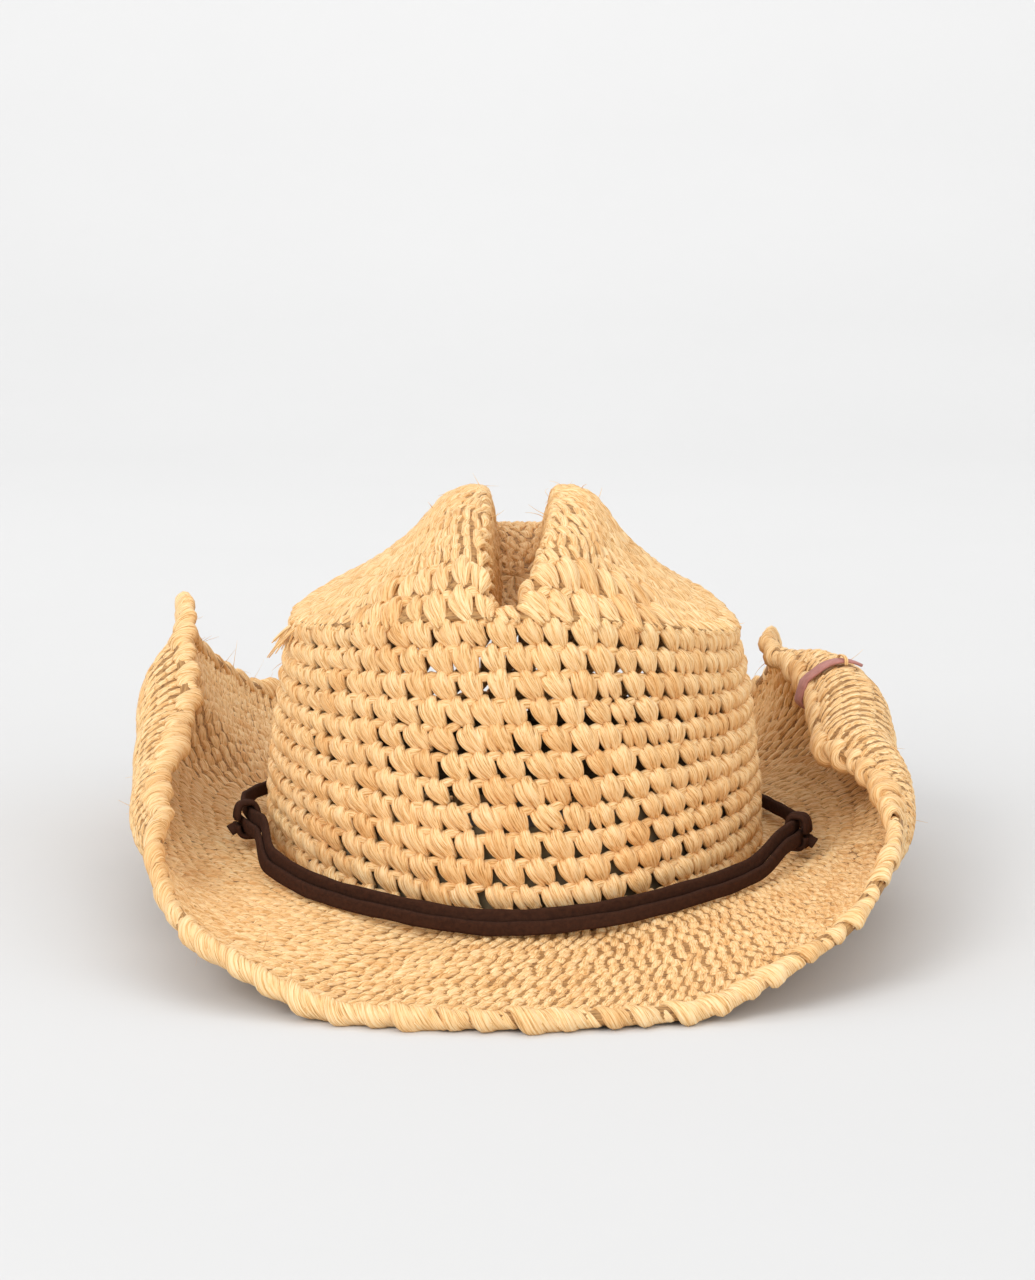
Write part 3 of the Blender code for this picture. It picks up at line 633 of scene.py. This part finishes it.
def crochet(pile, sheet, first, last, pitch, templates, untidy, per_round=None, arc=(0.0, 180.0)):
    """Work rounds first to last of a sheet with stitches chosen at random from the templates.

    Only the stitches whose angle from the front, either way, is within the arc are made.
    """
    width, height = pitch
    for k in range(first, last):
        row = int((k + 0.5) * FINE)
        length = sheet.lengths[row, -1]
        count = per_round or max(round(length / width), 3)
        stretch = length / count / width
        if per_round:
            start = rng.normal(0.0, ROUND_SPREAD) - ROUND_STEP * k
        else:
            start = rng.random()
        middles = np.arange(count) + start + rng.normal(0.0, PLACE_SPREAD * untidy, count)
        kinds = rng.integers(0, len(templates), count)
        angles = np.abs(one_turn(sheet.column(row, middles / count) * 360.0 / SAMPLES - 180.0))
        kinds[(angles < arc[0]) | (angles >= arc[1])] = len(templates)
        for kind, (points, fibres, faces) in enumerate(templates):
            chosen = np.flatnonzero(kinds == kind)
            if len(chosen) == 0:
                continue
            number = len(chosen)
            size = 1.0 + rng.normal(0.0, SIZE_SPREAD * untidy, (number, 1))
            lean = np.radians(rng.normal(0.0, LEAN_SPREAD * untidy, (number, 1)))
            a = (points[:, 0] * np.cos(lean) - points[:, 1] * np.sin(lean)) * size * stretch
            b = (points[:, 0] * np.sin(lean) + points[:, 1] * np.cos(lean)) * size
            b = b + rng.normal(0.0, ROW_SPREAD * untidy, (number, 1))
            c = points[:, 2] * size + rng.normal(0.0, LIFT_SPREAD * untidy, (number, 1))
            share = (middles[chosen][:, None] + a / (width * stretch)) / count
            column = sheet.column(row, share)
            placed = sheet.place((k + 0.5 + b / height) * FINE, column, c)
            starts = grain_starts(number)
            pile.add(placed, fibres + starts, faces, rng.random(number), sheet.side < 0)


# -------------------- stitches
def leg(top, bottom, half_width, lift, bend, flatness, bulge, pinch, taper, corners, steps):
    """A strand from the top of a stitch to its bottom, bulging in its upper half."""
    t = np.linspace(0.0, 1.0, steps)
    x = top[0] + (bottom[0] - top[0]) * t ** bend
    y = top[1] + (bottom[1] - top[1]) * t
    z = lift + bulge * (np.sin(np.pi * t ** 0.7) - 0.4 * t)
    fullness = np.sin(np.pi * (0.12 + 0.76 * t))
    width = half_width * (0.5 + 0.5 * fullness) * (1.0 - taper * t ** 2)
    thickness = flatness * half_width * (1.0 - pinch + pinch * fullness)
    return strand(np.stack([x, y, z], axis=1), UPWARD, width, thickness, corners)


def open_stitch(split, lean):
    """A puffy bundle of straw slanting down to the right, and the link to the next stitch."""
    made = []
    spacing, height, fall = MAIN_TOPS
    gather, foot_height, rise = MAIN_FEET
    for place, half_width, lift, bend in MAIN_STRANDS:
        top = (STITCH_TOP_X + spacing * place, height - fall * abs(place))
        foot = top[0] + lean - gather * place + split * min(place, 0.0)
        bottom = (foot, foot_height + rise * place)
        made.append(leg(top, bottom, half_width, lift, bend, **MAIN_SHAPE))
    spacing, height, fall = OVER_TOPS
    gather, foot_height, rise = OVER_FEET
    for place, half_width, lift in OVER_STRANDS:
        top = (STITCH_TOP_X + spacing * place + OVER_SPLIT * split, height - fall * abs(place))
        bottom = (top[0] + lean * OVER_LEAN - gather * place, foot_height + rise * place)
        made.append(leg(top, bottom, half_width, lift, OVER_BEND, **OVER_SHAPE))
    t = np.linspace(0.0, 1.0, 7)
    arch = np.sin(np.pi * t)
    link = LINK_START + np.outer(t, LINK_RUN) + np.outer(arch, LINK_ARCH)
    half_width = LINK_HALF_WIDTH[0] + LINK_HALF_WIDTH[1] * arch
    half_thickness = LINK_HALF_THICKNESS[0] + LINK_HALF_THICKNESS[1] * arch
    made.append(strand(link, UPWARD, half_width, half_thickness, 7))
    return bundle(made)


def close_stitch(lean, width, height, spread, lag):
    """Two short strands side by side, as tight crochet shows them on both its faces."""
    made = []
    for place in (-0.5, 0.5):
        top = (place * width * CLOSE_SPACING - lean, height * (CLOSE_TOP - lag * place))
        foot = place * width * (CLOSE_SPACING + spread) + lean
        bottom = (foot, -height * (CLOSE_BOTTOM + lag * place))
        made.append(leg(top, bottom, width * CLOSE_HALF_WIDTH, CLOSE_LIFT, 1.0, **CLOSE_SHAPE))
    return bundle(made)


# -------------------- materials
def new_look(name):
    look = bpy.data.materials.new(name)
    look.use_nodes = True
    tree = look.node_tree
    return look, tree, tree.nodes["Principled BSDF"]


def node(tree, kind, **values):
    made = tree.nodes.new(kind)
    for key, value in values.items():
        if key in made.inputs:
            made.inputs[key].default_value = value
        else:
            setattr(made, key, value)
    return made


def ramp(tree, source, stops):
    """Colours between the stops, each a place and a colour."""
    made = tree.nodes.new("ShaderNodeValToRGB")
    tree.links.new(source, made.inputs["Fac"])
    elements = made.color_ramp.elements
    while len(elements) < len(stops):
        elements.new(0.5)
    for element, (place, colour) in zip(elements, stops):
        element.position = place
        element.color = colour + (1.0,)
    return made.outputs["Color"]


def noise(tree, vector, scale, detail, roughness=0.5):
    made = node(tree, "ShaderNodeTexNoise", Scale=scale, Detail=detail, Roughness=roughness)
    tree.links.new(vector, made.inputs["Vector"])
    return made.outputs["Fac"]


def stretched(tree, vector, factors):
    made = node(tree, "ShaderNodeVectorMath", operation="MULTIPLY")
    made.inputs[1].default_value = factors
    tree.links.new(vector, made.inputs[0])
    return made.outputs["Vector"]


def bumped(tree, shader, height, strength, distance):
    made = node(tree, "ShaderNodeBump", Strength=strength, Distance=distance)
    tree.links.new(height, made.inputs["Height"])
    tree.links.new(made.outputs["Normal"], shader.inputs["Normal"])


def raffia_look(name, light, tint, dark):
    """Straw with fine lines along each strand; every stitch has its own tone."""
    look, tree, shader = new_look(name)
    fibre = node(tree, "ShaderNodeAttribute", attribute_name="fibre").outputs["Vector"]
    tone = node(tree, "ShaderNodeAttribute", attribute_name="shade").outputs["Fac"]
    lines = noise(tree, stretched(tree, fibre, RAFFIA_LINES), 1.0, 4.0, 0.6)
    straw = ramp(tree, lines, (
        (0.26, tuple(c * 0.45 for c in dark)), (0.38, dark), (0.50, tint), (0.70, light),
    ))
    tones = ramp(tree, tone, TONES)
    mixed = node(tree, "ShaderNodeMix", data_type="RGBA", blend_type="MULTIPLY")
    mixed.inputs[0].default_value = 1.0
    tree.links.new(straw, mixed.inputs[6])
    tree.links.new(tones, mixed.inputs[7])
    tree.links.new(mixed.outputs[2], shader.inputs["Base Color"])
    shader.inputs["Roughness"].default_value = RAFFIA_ROUGHNESS
    shader.inputs["Specular IOR Level"].default_value = RAFFIA_GLOSS
    ridges = noise(tree, stretched(tree, fibre, RAFFIA_RIDGES), 1.0, 3.0, 0.6)
    bumped(tree, shader, ridges, 0.7, 0.0006)
    return look


def plain_look(name, light, dark, roughness, scale, bump, sheen=0.0, metallic=0.0, gloss=0.5):
    """A mottled matt or metallic surface with a fine grain."""
    look, tree, shader = new_look(name)
    place = node(tree, "ShaderNodeTexCoord").outputs["Object"]
    mottle = noise(tree, place, scale, 5.0, 0.65)
    colour = ramp(tree, mottle, ((0.3, dark), (0.7, light)))
    tree.links.new(colour, shader.inputs["Base Color"])
    shader.inputs["Roughness"].default_value = roughness
    shader.inputs["Sheen Weight"].default_value = sheen
    shader.inputs["Metallic"].default_value = metallic
    shader.inputs["Specular IOR Level"].default_value = gloss
    bumped(tree, shader, noise(tree, place, scale * 4.0, 4.0, 0.7), bump, 0.0004)
    return look


# -------------------- crocheted pieces
def backing(sheet, core, name, look):
    """A thin closed layer inside tight crochet, so that light doesn't come through it; its darker
    straw colour is painted shade that makes the gaps between strands look dark.
    """
    lift, every = core
    rows = np.arange(0, len(sheet.points), FINE // 2)
    columns = np.arange(0, SAMPLES, every)
    over = sheet.points[rows][:, columns] + sheet.normals[rows][:, columns] * lift
    under = sheet.points[rows][:, columns] - sheet.normals[rows][:, columns] * lift
    loop = np.concatenate([over, under[::-1]])
    size, around = loop.shape[:2]
    points = loop.transpose(1, 0, 2).reshape(-1, 3)
    faces = tube_faces(around, size, around)
    pile = Pile()
    pile.add(points[None], points[None] * 0.5, [faces], np.array([PAINTED_SHADE_CORE_TONE]), sheet.side < 0)
    pile.mesh(name, look, "raffia")


def open_stitches():
    """The crown's large stitches; in some the left strand is split off from the others."""
    return [open_stitch(split, lean) for split, lean in OPEN_STITCHES]


def close_stitches(kinds, pitch):
    return [close_stitch(lean, *pitch, spread, lag) for lean, spread, lag in kinds]


def crown_wall(sheet, look):
    pile = Pile()
    stitches = open_stitches()
    crochet(pile, sheet, 0, WALL_ROUNDS, WALL_PITCH, stitches, WALL_UNTIDY, WALL_STITCHES)
    pile.mesh("crochet_crown_wall", look, "raffia", "crown_wall")


def crown_top(sheet, look, shaded_core_look):
    """Tight rounds all over, and larger open ones above the shoulder at the front."""
    rows = np.linspace(0.0, OPEN_TOP_ROUNDS * FINE, OPEN_TOP_LARGE_ROUNDS * FINE + 1)
    low = np.floor(rows).astype(int)
    share = (rows - low)[:, None, None]
    large = Sheet(sheet.points[low] * (1.0 - share) + sheet.points[low + 1] * share, 1)
    stitches = close_stitches(TOP_STITCHES, TOP_PITCH)
    front = (0.0, OPEN_TOP_ARC)
    rest = (OPEN_TOP_ARC, 180.0)
    pile = Pile()
    crochet(pile, sheet, OPEN_TOP_ROUNDS, TOP_ROUNDS, TOP_PITCH, stitches, TOP_UNTIDY)
    crochet(pile, sheet, 0, OPEN_TOP_ROUNDS, TOP_PITCH, stitches, TOP_UNTIDY, None, rest)
    crochet(pile, large, 0, OPEN_TOP_LARGE_ROUNDS, WALL_PITCH, open_stitches(), OPEN_TOP_UNTIDY,
            OPEN_TOP_STITCHES, front)
    pile.mesh("crochet_crown_top", look, "raffia", "crown_top")
    backing(sheet, TOP_CORE, "crochet_crown_top_shaded_core", shaded_core_look)


def brim(sheet, look, shaded_core_look):
    pile = Pile()
    stitches = close_stitches(BRIM_STITCHES, BRIM_PITCH)
    crochet(pile, sheet, 0, BRIM_ROUNDS, BRIM_PITCH, stitches, BRIM_UNTIDY)
    pile.mesh("crochet_brim", look, "raffia", "brim")
    backing(sheet, BRIM_CORE, "crochet_brim_shaded_core", shaded_core_look)


def lobe(half_width, reach, shift):
    """One twist of the rope-like last round, wrapped over the edge from top to underside."""
    t = np.linspace(0.0, 1.0, LOBE_STEPS)
    turn = np.radians(LOBE_WRAP - 2.0 * LOBE_WRAP * t)
    run = reach * (t - 0.5) + shift
    past = 1.4 + (2.4 + 0.25 * half_width) * np.cos(turn)
    up = (1.3 + 0.35 * half_width) * np.sin(turn)
    facing = np.stack([np.zeros_like(t), np.cos(turn), np.sin(turn)], axis=1)
    width = half_width * (0.6 + 0.4 * np.sin(np.pi * (0.08 + 0.84 * t)))
    return strand(np.stack([run, past, up], axis=1), facing, width, 0.5 * width, 7)


def brim_edge(sheet, look, shaded_core_look):
    """Overlapping lobes round the edge, over a plain core that hides the wire and is coloured with
    painted shade, so the gaps between lobes look dark.
    """
    edge = Edge(sheet)
    count = round(edge.length / LOBE_PITCH)
    made = [lobe(half_width, LOBE_REACH * share, shift) for half_width, share, shift in LOBES]
    points, fibres, faces = bundle(made)
    runs = (np.arange(count) + rng.normal(0.0, LOBE_PLACE_SPREAD, count)) * edge.length / count
    size = 1.0 + rng.normal(0.0, LOBE_SIZE_SPREAD, (count, 1))
    run = runs[:, None] + points[:, 0] * size
    scallop = SCALLOP * np.cos(2.0 * np.pi * (points[:, 0] - LOBES[0][2]) / LOBE_PITCH)
    past = points[:, 1] * size + scallop + rng.normal(0.0, LOBE_PAST_SPREAD, (count, 1))
    placed = edge.place(run, past, points[:, 2] * size)
    starts = grain_starts(count)
    pile = Pile()
    pile.add(placed, fibres + starts, faces, rng.random(count), True)
    pile.mesh("crochet_edge_round", look, "raffia", "brim_edge_round")
    beyond, half_width, half_thickness = EDGE_CORE
    # the core rope takes the painted shade colour, so it shows dark between the lobes
    runs = np.linspace(0.0, edge.length - 0.01, SAMPLES)
    rope = edge.place(runs, np.full(SAMPLES, beyond), np.zeros(SAMPLES))
    pile = Pile()
    pile.add_one(strand(rope, UPWARD, half_width, half_thickness, 10), PAINTED_SHADE_CORE_TONE)
    pile.mesh("crochet_edge_shaded_core", shaded_core_look, "raffia")


def loose_fibres(sheets, look):
    """Frayed ends of straw that stand off the fabric, more of them towards its last rounds."""
    pile = Pile()
    t = np.linspace(0.0, 1.0, 7)[:, None]
    width = FIBRE_HALF_WIDTH * (1.0 - 0.8 * t[:, 0])
    for sheet, (number, longest) in sheets:
        for _ in range(number):
            row = np.array([(len(sheet.points) - 1) * (0.35 + 0.65 * rng.random() ** 0.5)])
            column = np.array([rng.uniform(0.0, SAMPLES)])
            start = sheet.place(row, column, np.array([FIBRE_LIFT]))[0]
            normal = sheet.sample(sheet.normals, row, column)[0]
            heading = rng.normal(0.0, 1.0, 3) + 0.8 * normal
            heading /= np.linalg.norm(heading)
            bend = rng.normal(0.0, FIBRE_BEND, 3)
            length = rng.uniform(0.25, 1.0) * longest
            path = start + heading * length * t + bend * length * t ** 2
            path[:, 2] = np.maximum(path[:, 2], FLOOR_GAP)
            facing = normal + rng.normal(0.0, 0.3, 3)
            pile.add_one(strand(path, facing, width, 0.4 * width, 4), rng.random())
    pile.mesh("loose_fibres", look, "raffia")


def loose_tuft(look):
    """Straw ends left hanging from the shoulder at one side of the crown."""
    pile = Pile()
    t = np.linspace(0.0, 1.0, 8)[:, None]
    width = TUFT_HALF_WIDTH * (1.0 - 0.7 * t[:, 0])
    droop = np.array([0.0, 0.0, -TUFT_DROOP]) * t ** 2
    for _ in range(TUFT_STRANDS):
        angle = TUFT_ANGLE + rng.normal(0.0, 3.0)
        start = wall_place(angle, shoulder_height(angle) - base_height(angle) - 1.0, 1.0)
        heading = np.array(TUFT_HEADING) + rng.normal(0.0, 0.12, 3)
        length = TUFT_LENGTH * rng.uniform(0.6, 1.0)
        path = start + heading * length * t + droop
        pile.add_one(strand(path, (-0.5, -0.8, 0.4), width, 0.4 * width, 6), rng.random())
    pile.mesh("loose_tuft", look, "raffia")


# -------------------- inside the crown
def loft_band(name, angles, levels, depths, look, slot, stands_for):
    """A strip inside the crown: levels up its outer side and back down its inner side."""
    sections = []
    for level, depth in zip(levels, depths):
        sections.append(wall_place(angles, level, -depth))
    loop = np.stack(sections, axis=1)
    around, size = loop.shape[:2]
    points = loop.reshape(-1, 3)
    ring = np.arange(size)
    ends = np.stack([ring, (around - 1) * size + ring[::-1]])
    pile = Pile()
    faces = tube_faces(around, size, around - 1)
    pile.add(points[None], points[None], [faces, ends], np.array([0.5]))
    pile.mesh(name, look, slot, stands_for)


def sweatband(look):
    """A strip with fine ribs on its inner side."""
    levels_up = np.linspace(*SWEATBAND_LEVELS, 65)
    rib_height, rib_rate = SWEATBAND_RIBS
    outer = np.full_like(levels_up, SWEATBAND_DEPTHS[0])
    inner = SWEATBAND_DEPTHS[1] + rib_height * np.sin(levels_up * rib_rate)
    levels = np.concatenate([levels_up, levels_up[::-1]])
    depths = np.concatenate([outer, inner[::-1]])
    angles = np.linspace(-SWEATBAND_END, SWEATBAND_END, 361)
    loft_band("ribbed_sweatband", angles, levels, depths, look, "cotton", "sweatband")


def sweatband_tape(look):
    levels, depths = np.array(TAPE_SECTION).T
    angles = np.linspace(*TAPE_ANGLES, 9)
    loft_band("folded_sweatband_tape", angles, levels, depths, look, "cotton", "sweatband_tape")


def sweatband_thread(look):
    """Running stitches round the sweatband, each a short strand that dips at both ends."""
    pile = Pile()
    t = np.linspace(0.0, 1.0, 6)
    depth = THREAD_DEPTH + THREAD_RISE * np.sin(np.pi * t)
    for i in range(THREAD_STITCHES):
        angles = (i + THREAD_SHARE * t) * 360.0 / THREAD_STITCHES - 180.0
        path = wall_place(angles, THREAD_LEVEL, -depth)
        facing = path * (-1.0, -1.0, 0.0)
        pile.add_one(strand(path, facing, *THREAD_HALF_SIZES, 6), rng.random())
    pile.mesh("running_stitches", look, "thread", "sweatband_thread")


# -------------------- lace band
def lace_place(angle, across, up):
    radius, level = along(LACE_LOOP, one_turn(angle))
    x = (radius + across) * np.sin(np.radians(angle))
    y = LACE_CENTRE_Y - (radius + across) * np.cos(np.radians(angle))
    return np.stack([x, y, level + up], axis=-1)


def lace_facing(angle):
    turn = np.radians(angle)
    return np.stack([np.sin(turn), -np.cos(turn), np.zeros_like(turn)], axis=-1)


def wave(angles, size, rate, start):
    return size * np.sin(angles * rate + start)


def band_lace(look):
    """One lace from knot to knot, nearly once and a half round, changing tracks at the back."""
    angles = np.linspace(-LACE_END_ANGLE, 360.0 + LACE_END_ANGLE, 520)
    outer_run = 1.0 - 2.0 * ease(LACE_CROSSING[0], LACE_CROSSING[1], angles)
    sway = wave(angles, *LACE_SWAYS[0]) + wave(angles, *LACE_SWAYS[1])
    path = lace_place(angles, outer_run * LACE_SPREAD, sway - outer_run * LACE_STAGGER)
    facing = lace_facing(angles)
    facing[:, 2] = wave(angles, *LACE_TILT)
    height = LACE_HEIGHT / 2 * (1.0 + wave(angles, *LACE_SWELL))
    pile = Pile()
    pile.add_one(strand(path, facing, height, LACE_THICKNESS / 2, 16, LACE_SQUARENESS), 0.5)
    pile.mesh("suede_band_lace", look, "suede", "band_lace", "band")


def squared(turned):
    """A sine or cosine made fuller, for a loop with rounded corners."""
    return np.sign(turned) * np.abs(turned) ** KNOT_CORNER_POWER


def knot(side, name, look):
    """The tied end: two turns of lace round both strands and a short cut end outside."""
    pile = Pile()
    turn = 2.0 * np.pi * np.linspace(0.0, 1.0, 40)
    for shift, spread, lean in KNOT_TURNS:
        across = (KNOT_HALF_OPENING[0] + spread) * squared(np.cos(turn))
        up = (KNOT_HALF_OPENING[1] + spread) * squared(np.sin(turn))
        angles = side * KNOT_ANGLE + np.degrees((shift + lean * np.sin(turn)) / KNOT_RADIUS)
        path = lace_place(angles, across, up)[:-1]
        outward = path - lace_place(angles, 0.0, 0.0)[:-1]
        pile.add_one(strand(path, outward, *KNOT_HALF_SIZES, 10, KNOT_SQUARENESS), 0.5)
    start = lace_place(side * KNOT_ANGLE, KNOT_HALF_OPENING[0], STUB_START)
    outward = lace_facing(np.array(side * KNOT_ANGLE))
    t = np.linspace(0.0, 1.0, 8)[:, None]
    path = start + outward * STUB_LENGTH * t + np.array([0.0, 0.0, -STUB_DROP]) * t ** 1.5
    pile.add_one(strand(path, (0.0, -0.7, 0.7), *STUB_HALF_SIZES, 10, KNOT_SQUARENESS), 0.5)
    pile.mesh("suede_" + name, look, "suede", name, name)


# -------------------- leather tag
def tag_row(sheet, past):
    """The sheet's row that is a distance past the edge at the tag; inside it is negative."""
    width = float(along(BRIM_LOOP, one_turn(TAG_ANGLE))[0]) - EDGE_OVERHANG
    return (1.0 + past / width) * (len(sheet.points) - 1)


def tag_point(sheet, edge, column, past, lift):
    """A point over the fabric, or round its edge when past it."""
    if past < 0.0:
        row = np.array([tag_row(sheet, past)])
        return sheet.place(row, np.array([column]), np.array([lift]))[0]
    run = np.array([edge.lengths[int(column)]])
    return edge.place(run, np.array([past]), np.array([lift]))[0]


def leather_tag(sheet, look, raffia):
    """A strip folded over the edge, with a stitch of raffia through each of its sides."""
    edge = Edge(sheet)
    column = (TAG_ANGLE + 180.0) * SAMPLES // 360.0
    turn = np.radians(np.linspace(-90.0, 90.0, 13))
    under_past = -TAG_LENGTH + np.linspace(0.0, TAG_LENGTH, 14)
    climb = (TAG_OVER_LIFT - TAG_FLAT_LIFT) * ease(-TAG_RAMP, 0.0, under_past)
    under_up = -(TAG_FLAT_LIFT + climb)
    past = np.concatenate([under_past, TAG_BEND[0] + TAG_BEND[1] * np.cos(turn), under_past[::-1]])
    up = np.concatenate([under_up, TAG_OVER_LIFT * np.sin(turn), -under_up[::-1]])
    path = np.array([tag_point(sheet, edge, column, p, u) for p, u in zip(past, up)])
    nx, ny = directions(TAG_ANGLE)
    across = np.array([-ny, nx, 0.0])
    facing = np.cross(across, np.gradient(path, axis=0))
    from_end = np.minimum(np.arange(len(path)), np.arange(len(path))[::-1])
    narrowing, rate = TAG_END_NARROWING
    half = TAG_WIDTH / 2 * (1.0 - narrowing * np.exp(-from_end * rate))
    pile = Pile()
    pile.add_one(strand(path, facing, half, TAG_THICKNESS / 2, 14, LACE_SQUARENESS), 0.5)
    pile.mesh("folded_leather_tag", look, "leather", "leather_tag")
    sweep = np.pi * (np.linspace(0.0, 1.0, TAG_STITCH_STEPS) - 0.5)
    sideways = (TAG_WIDTH / 2 + TAG_STITCH_OVERHANG) * np.sin(sweep)
    rows = np.full(TAG_STITCH_STEPS, tag_row(sheet, -STITCH_DISTANCE))
    columns = np.full(TAG_STITCH_STEPS, column)
    for name, sign, stands_for in TAG_STITCHES:
        lift = sign * (TAG_STITCH_LIFTS[0] + TAG_STITCH_LIFTS[1] * np.cos(sweep) ** 0.5)
        path = sheet.place(rows, columns, lift) + sideways[:, None] * across
        outward = sheet.sample(sheet.normals, rows[:1], columns[:1])[0] * sign
        pile = Pile()
        pile.add_one(strand(path, outward, *TAG_STITCH_HALF_SIZES, 8), 0.9)
        pile.mesh(name, raffia, "raffia", stands_for)


# -------------------- studio
def sweep():
    """A pale sheet of paper that curves up behind the hat."""
    size = len(SWEEP_PROFILE)
    corners = [(x, y, z) for x in (-SWEEP_HALF_WIDTH, SWEEP_HALF_WIDTH) for y, z in SWEEP_PROFILE]
    faces = [(i, i + size, i + size + 1, i + 1) for i in range(size - 1)]
    mesh = bpy.data.meshes.new("sweep")
    mesh.from_pydata(corners, [], faces)
    mesh.polygons.foreach_set("use_smooth", [True] * len(faces))
    mesh.materials.append(plain_look("paper", *PAPER, gloss=0.1))
    paper = bpy.data.objects.new("sweep", mesh)
    bpy.context.scene.collection.objects.link(paper)


def studio():
    """A pale sweep, soft lamps at the front and over the backdrop, and a camera at the front."""
    sweep()
    world = bpy.data.worlds.new("studio")
    world.use_nodes = True
    background = world.node_tree.nodes["Background"]
    background.inputs["Color"].default_value = (1.0, 1.0, 1.0, 1.0)
    background.inputs["Strength"].default_value = WORLD_STRENGTH
    bpy.context.scene.world = world
    for name, place, aim, size, power in LAMPS:
        lamp = bpy.data.lights.new(name, "AREA")
        lamp.size = size
        lamp.energy = power
        holder = bpy.data.objects.new(name, lamp)
        holder.location = place
        direction = Vector(np.array(aim) - np.array(place))
        holder.rotation_euler = direction.to_track_quat("-Z", "Y").to_euler()
        bpy.context.scene.collection.objects.link(holder)
    camera = bpy.data.objects.new("camera", bpy.data.cameras.new("camera"))
    camera.data.sensor_width = CAMERA_SENSOR
    camera.data.lens = CAMERA_LENS
    camera.location = CAMERA_PLACE
    camera.rotation_euler = Euler((np.radians(CAMERA_TILT), 0.0, 0.0))
    bpy.context.scene.collection.objects.link(camera)
    bpy.context.scene.camera = camera
    bpy.context.scene.view_settings.view_transform = "Standard"


# -------------------- the hat
def dress():
    """Make every material and every piece of the hat."""
    raffia = raffia_look("raffia", *RAFFIA)
    # painted shade: darker straw for the layers under the stitches, seen through the gaps between them
    core = raffia_look("raffia_core_painted_shade", *RAFFIA_CORE_PAINTED_SHADE)
    suede = plain_look("brown_suede", *SUEDE, gloss=0.12)
    leather = plain_look("mauve_leather", *LEATHER, gloss=0.3)
    cotton = plain_look("olive_cotton", *COTTON, sheen=0.2)
    thread = plain_look("straw_thread", *THREAD)
    steel = plain_look("galvanised_steel", *STEEL, metallic=1.0)
    for name in ("brim_wire", "wire_sleeve"):
        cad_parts[name].material_slots[0].material = steel
    brim_surface = brim_sheet()
    wall_surface = wall_sheet()
    top_surface = top_sheet()
    crown_wall(wall_surface, raffia)
    crown_top(top_surface, raffia, core)
    brim(brim_surface, raffia, core)
    brim_edge(brim_surface, raffia, core)
    surfaces = ((brim_surface, BRIM_FIBRES), (top_surface, TOP_FIBRES), (wall_surface, WALL_FIBRES))
    loose_fibres(surfaces, raffia)
    loose_tuft(raffia)
    sweatband(cotton)
    sweatband_tape(cotton)
    sweatband_thread(thread)
    band_lace(suede)
    knot(-1, "knot_left", suede)
    knot(1, "knot_right", suede)
    leather_tag(brim_surface, leather, raffia)


dress()
studio()
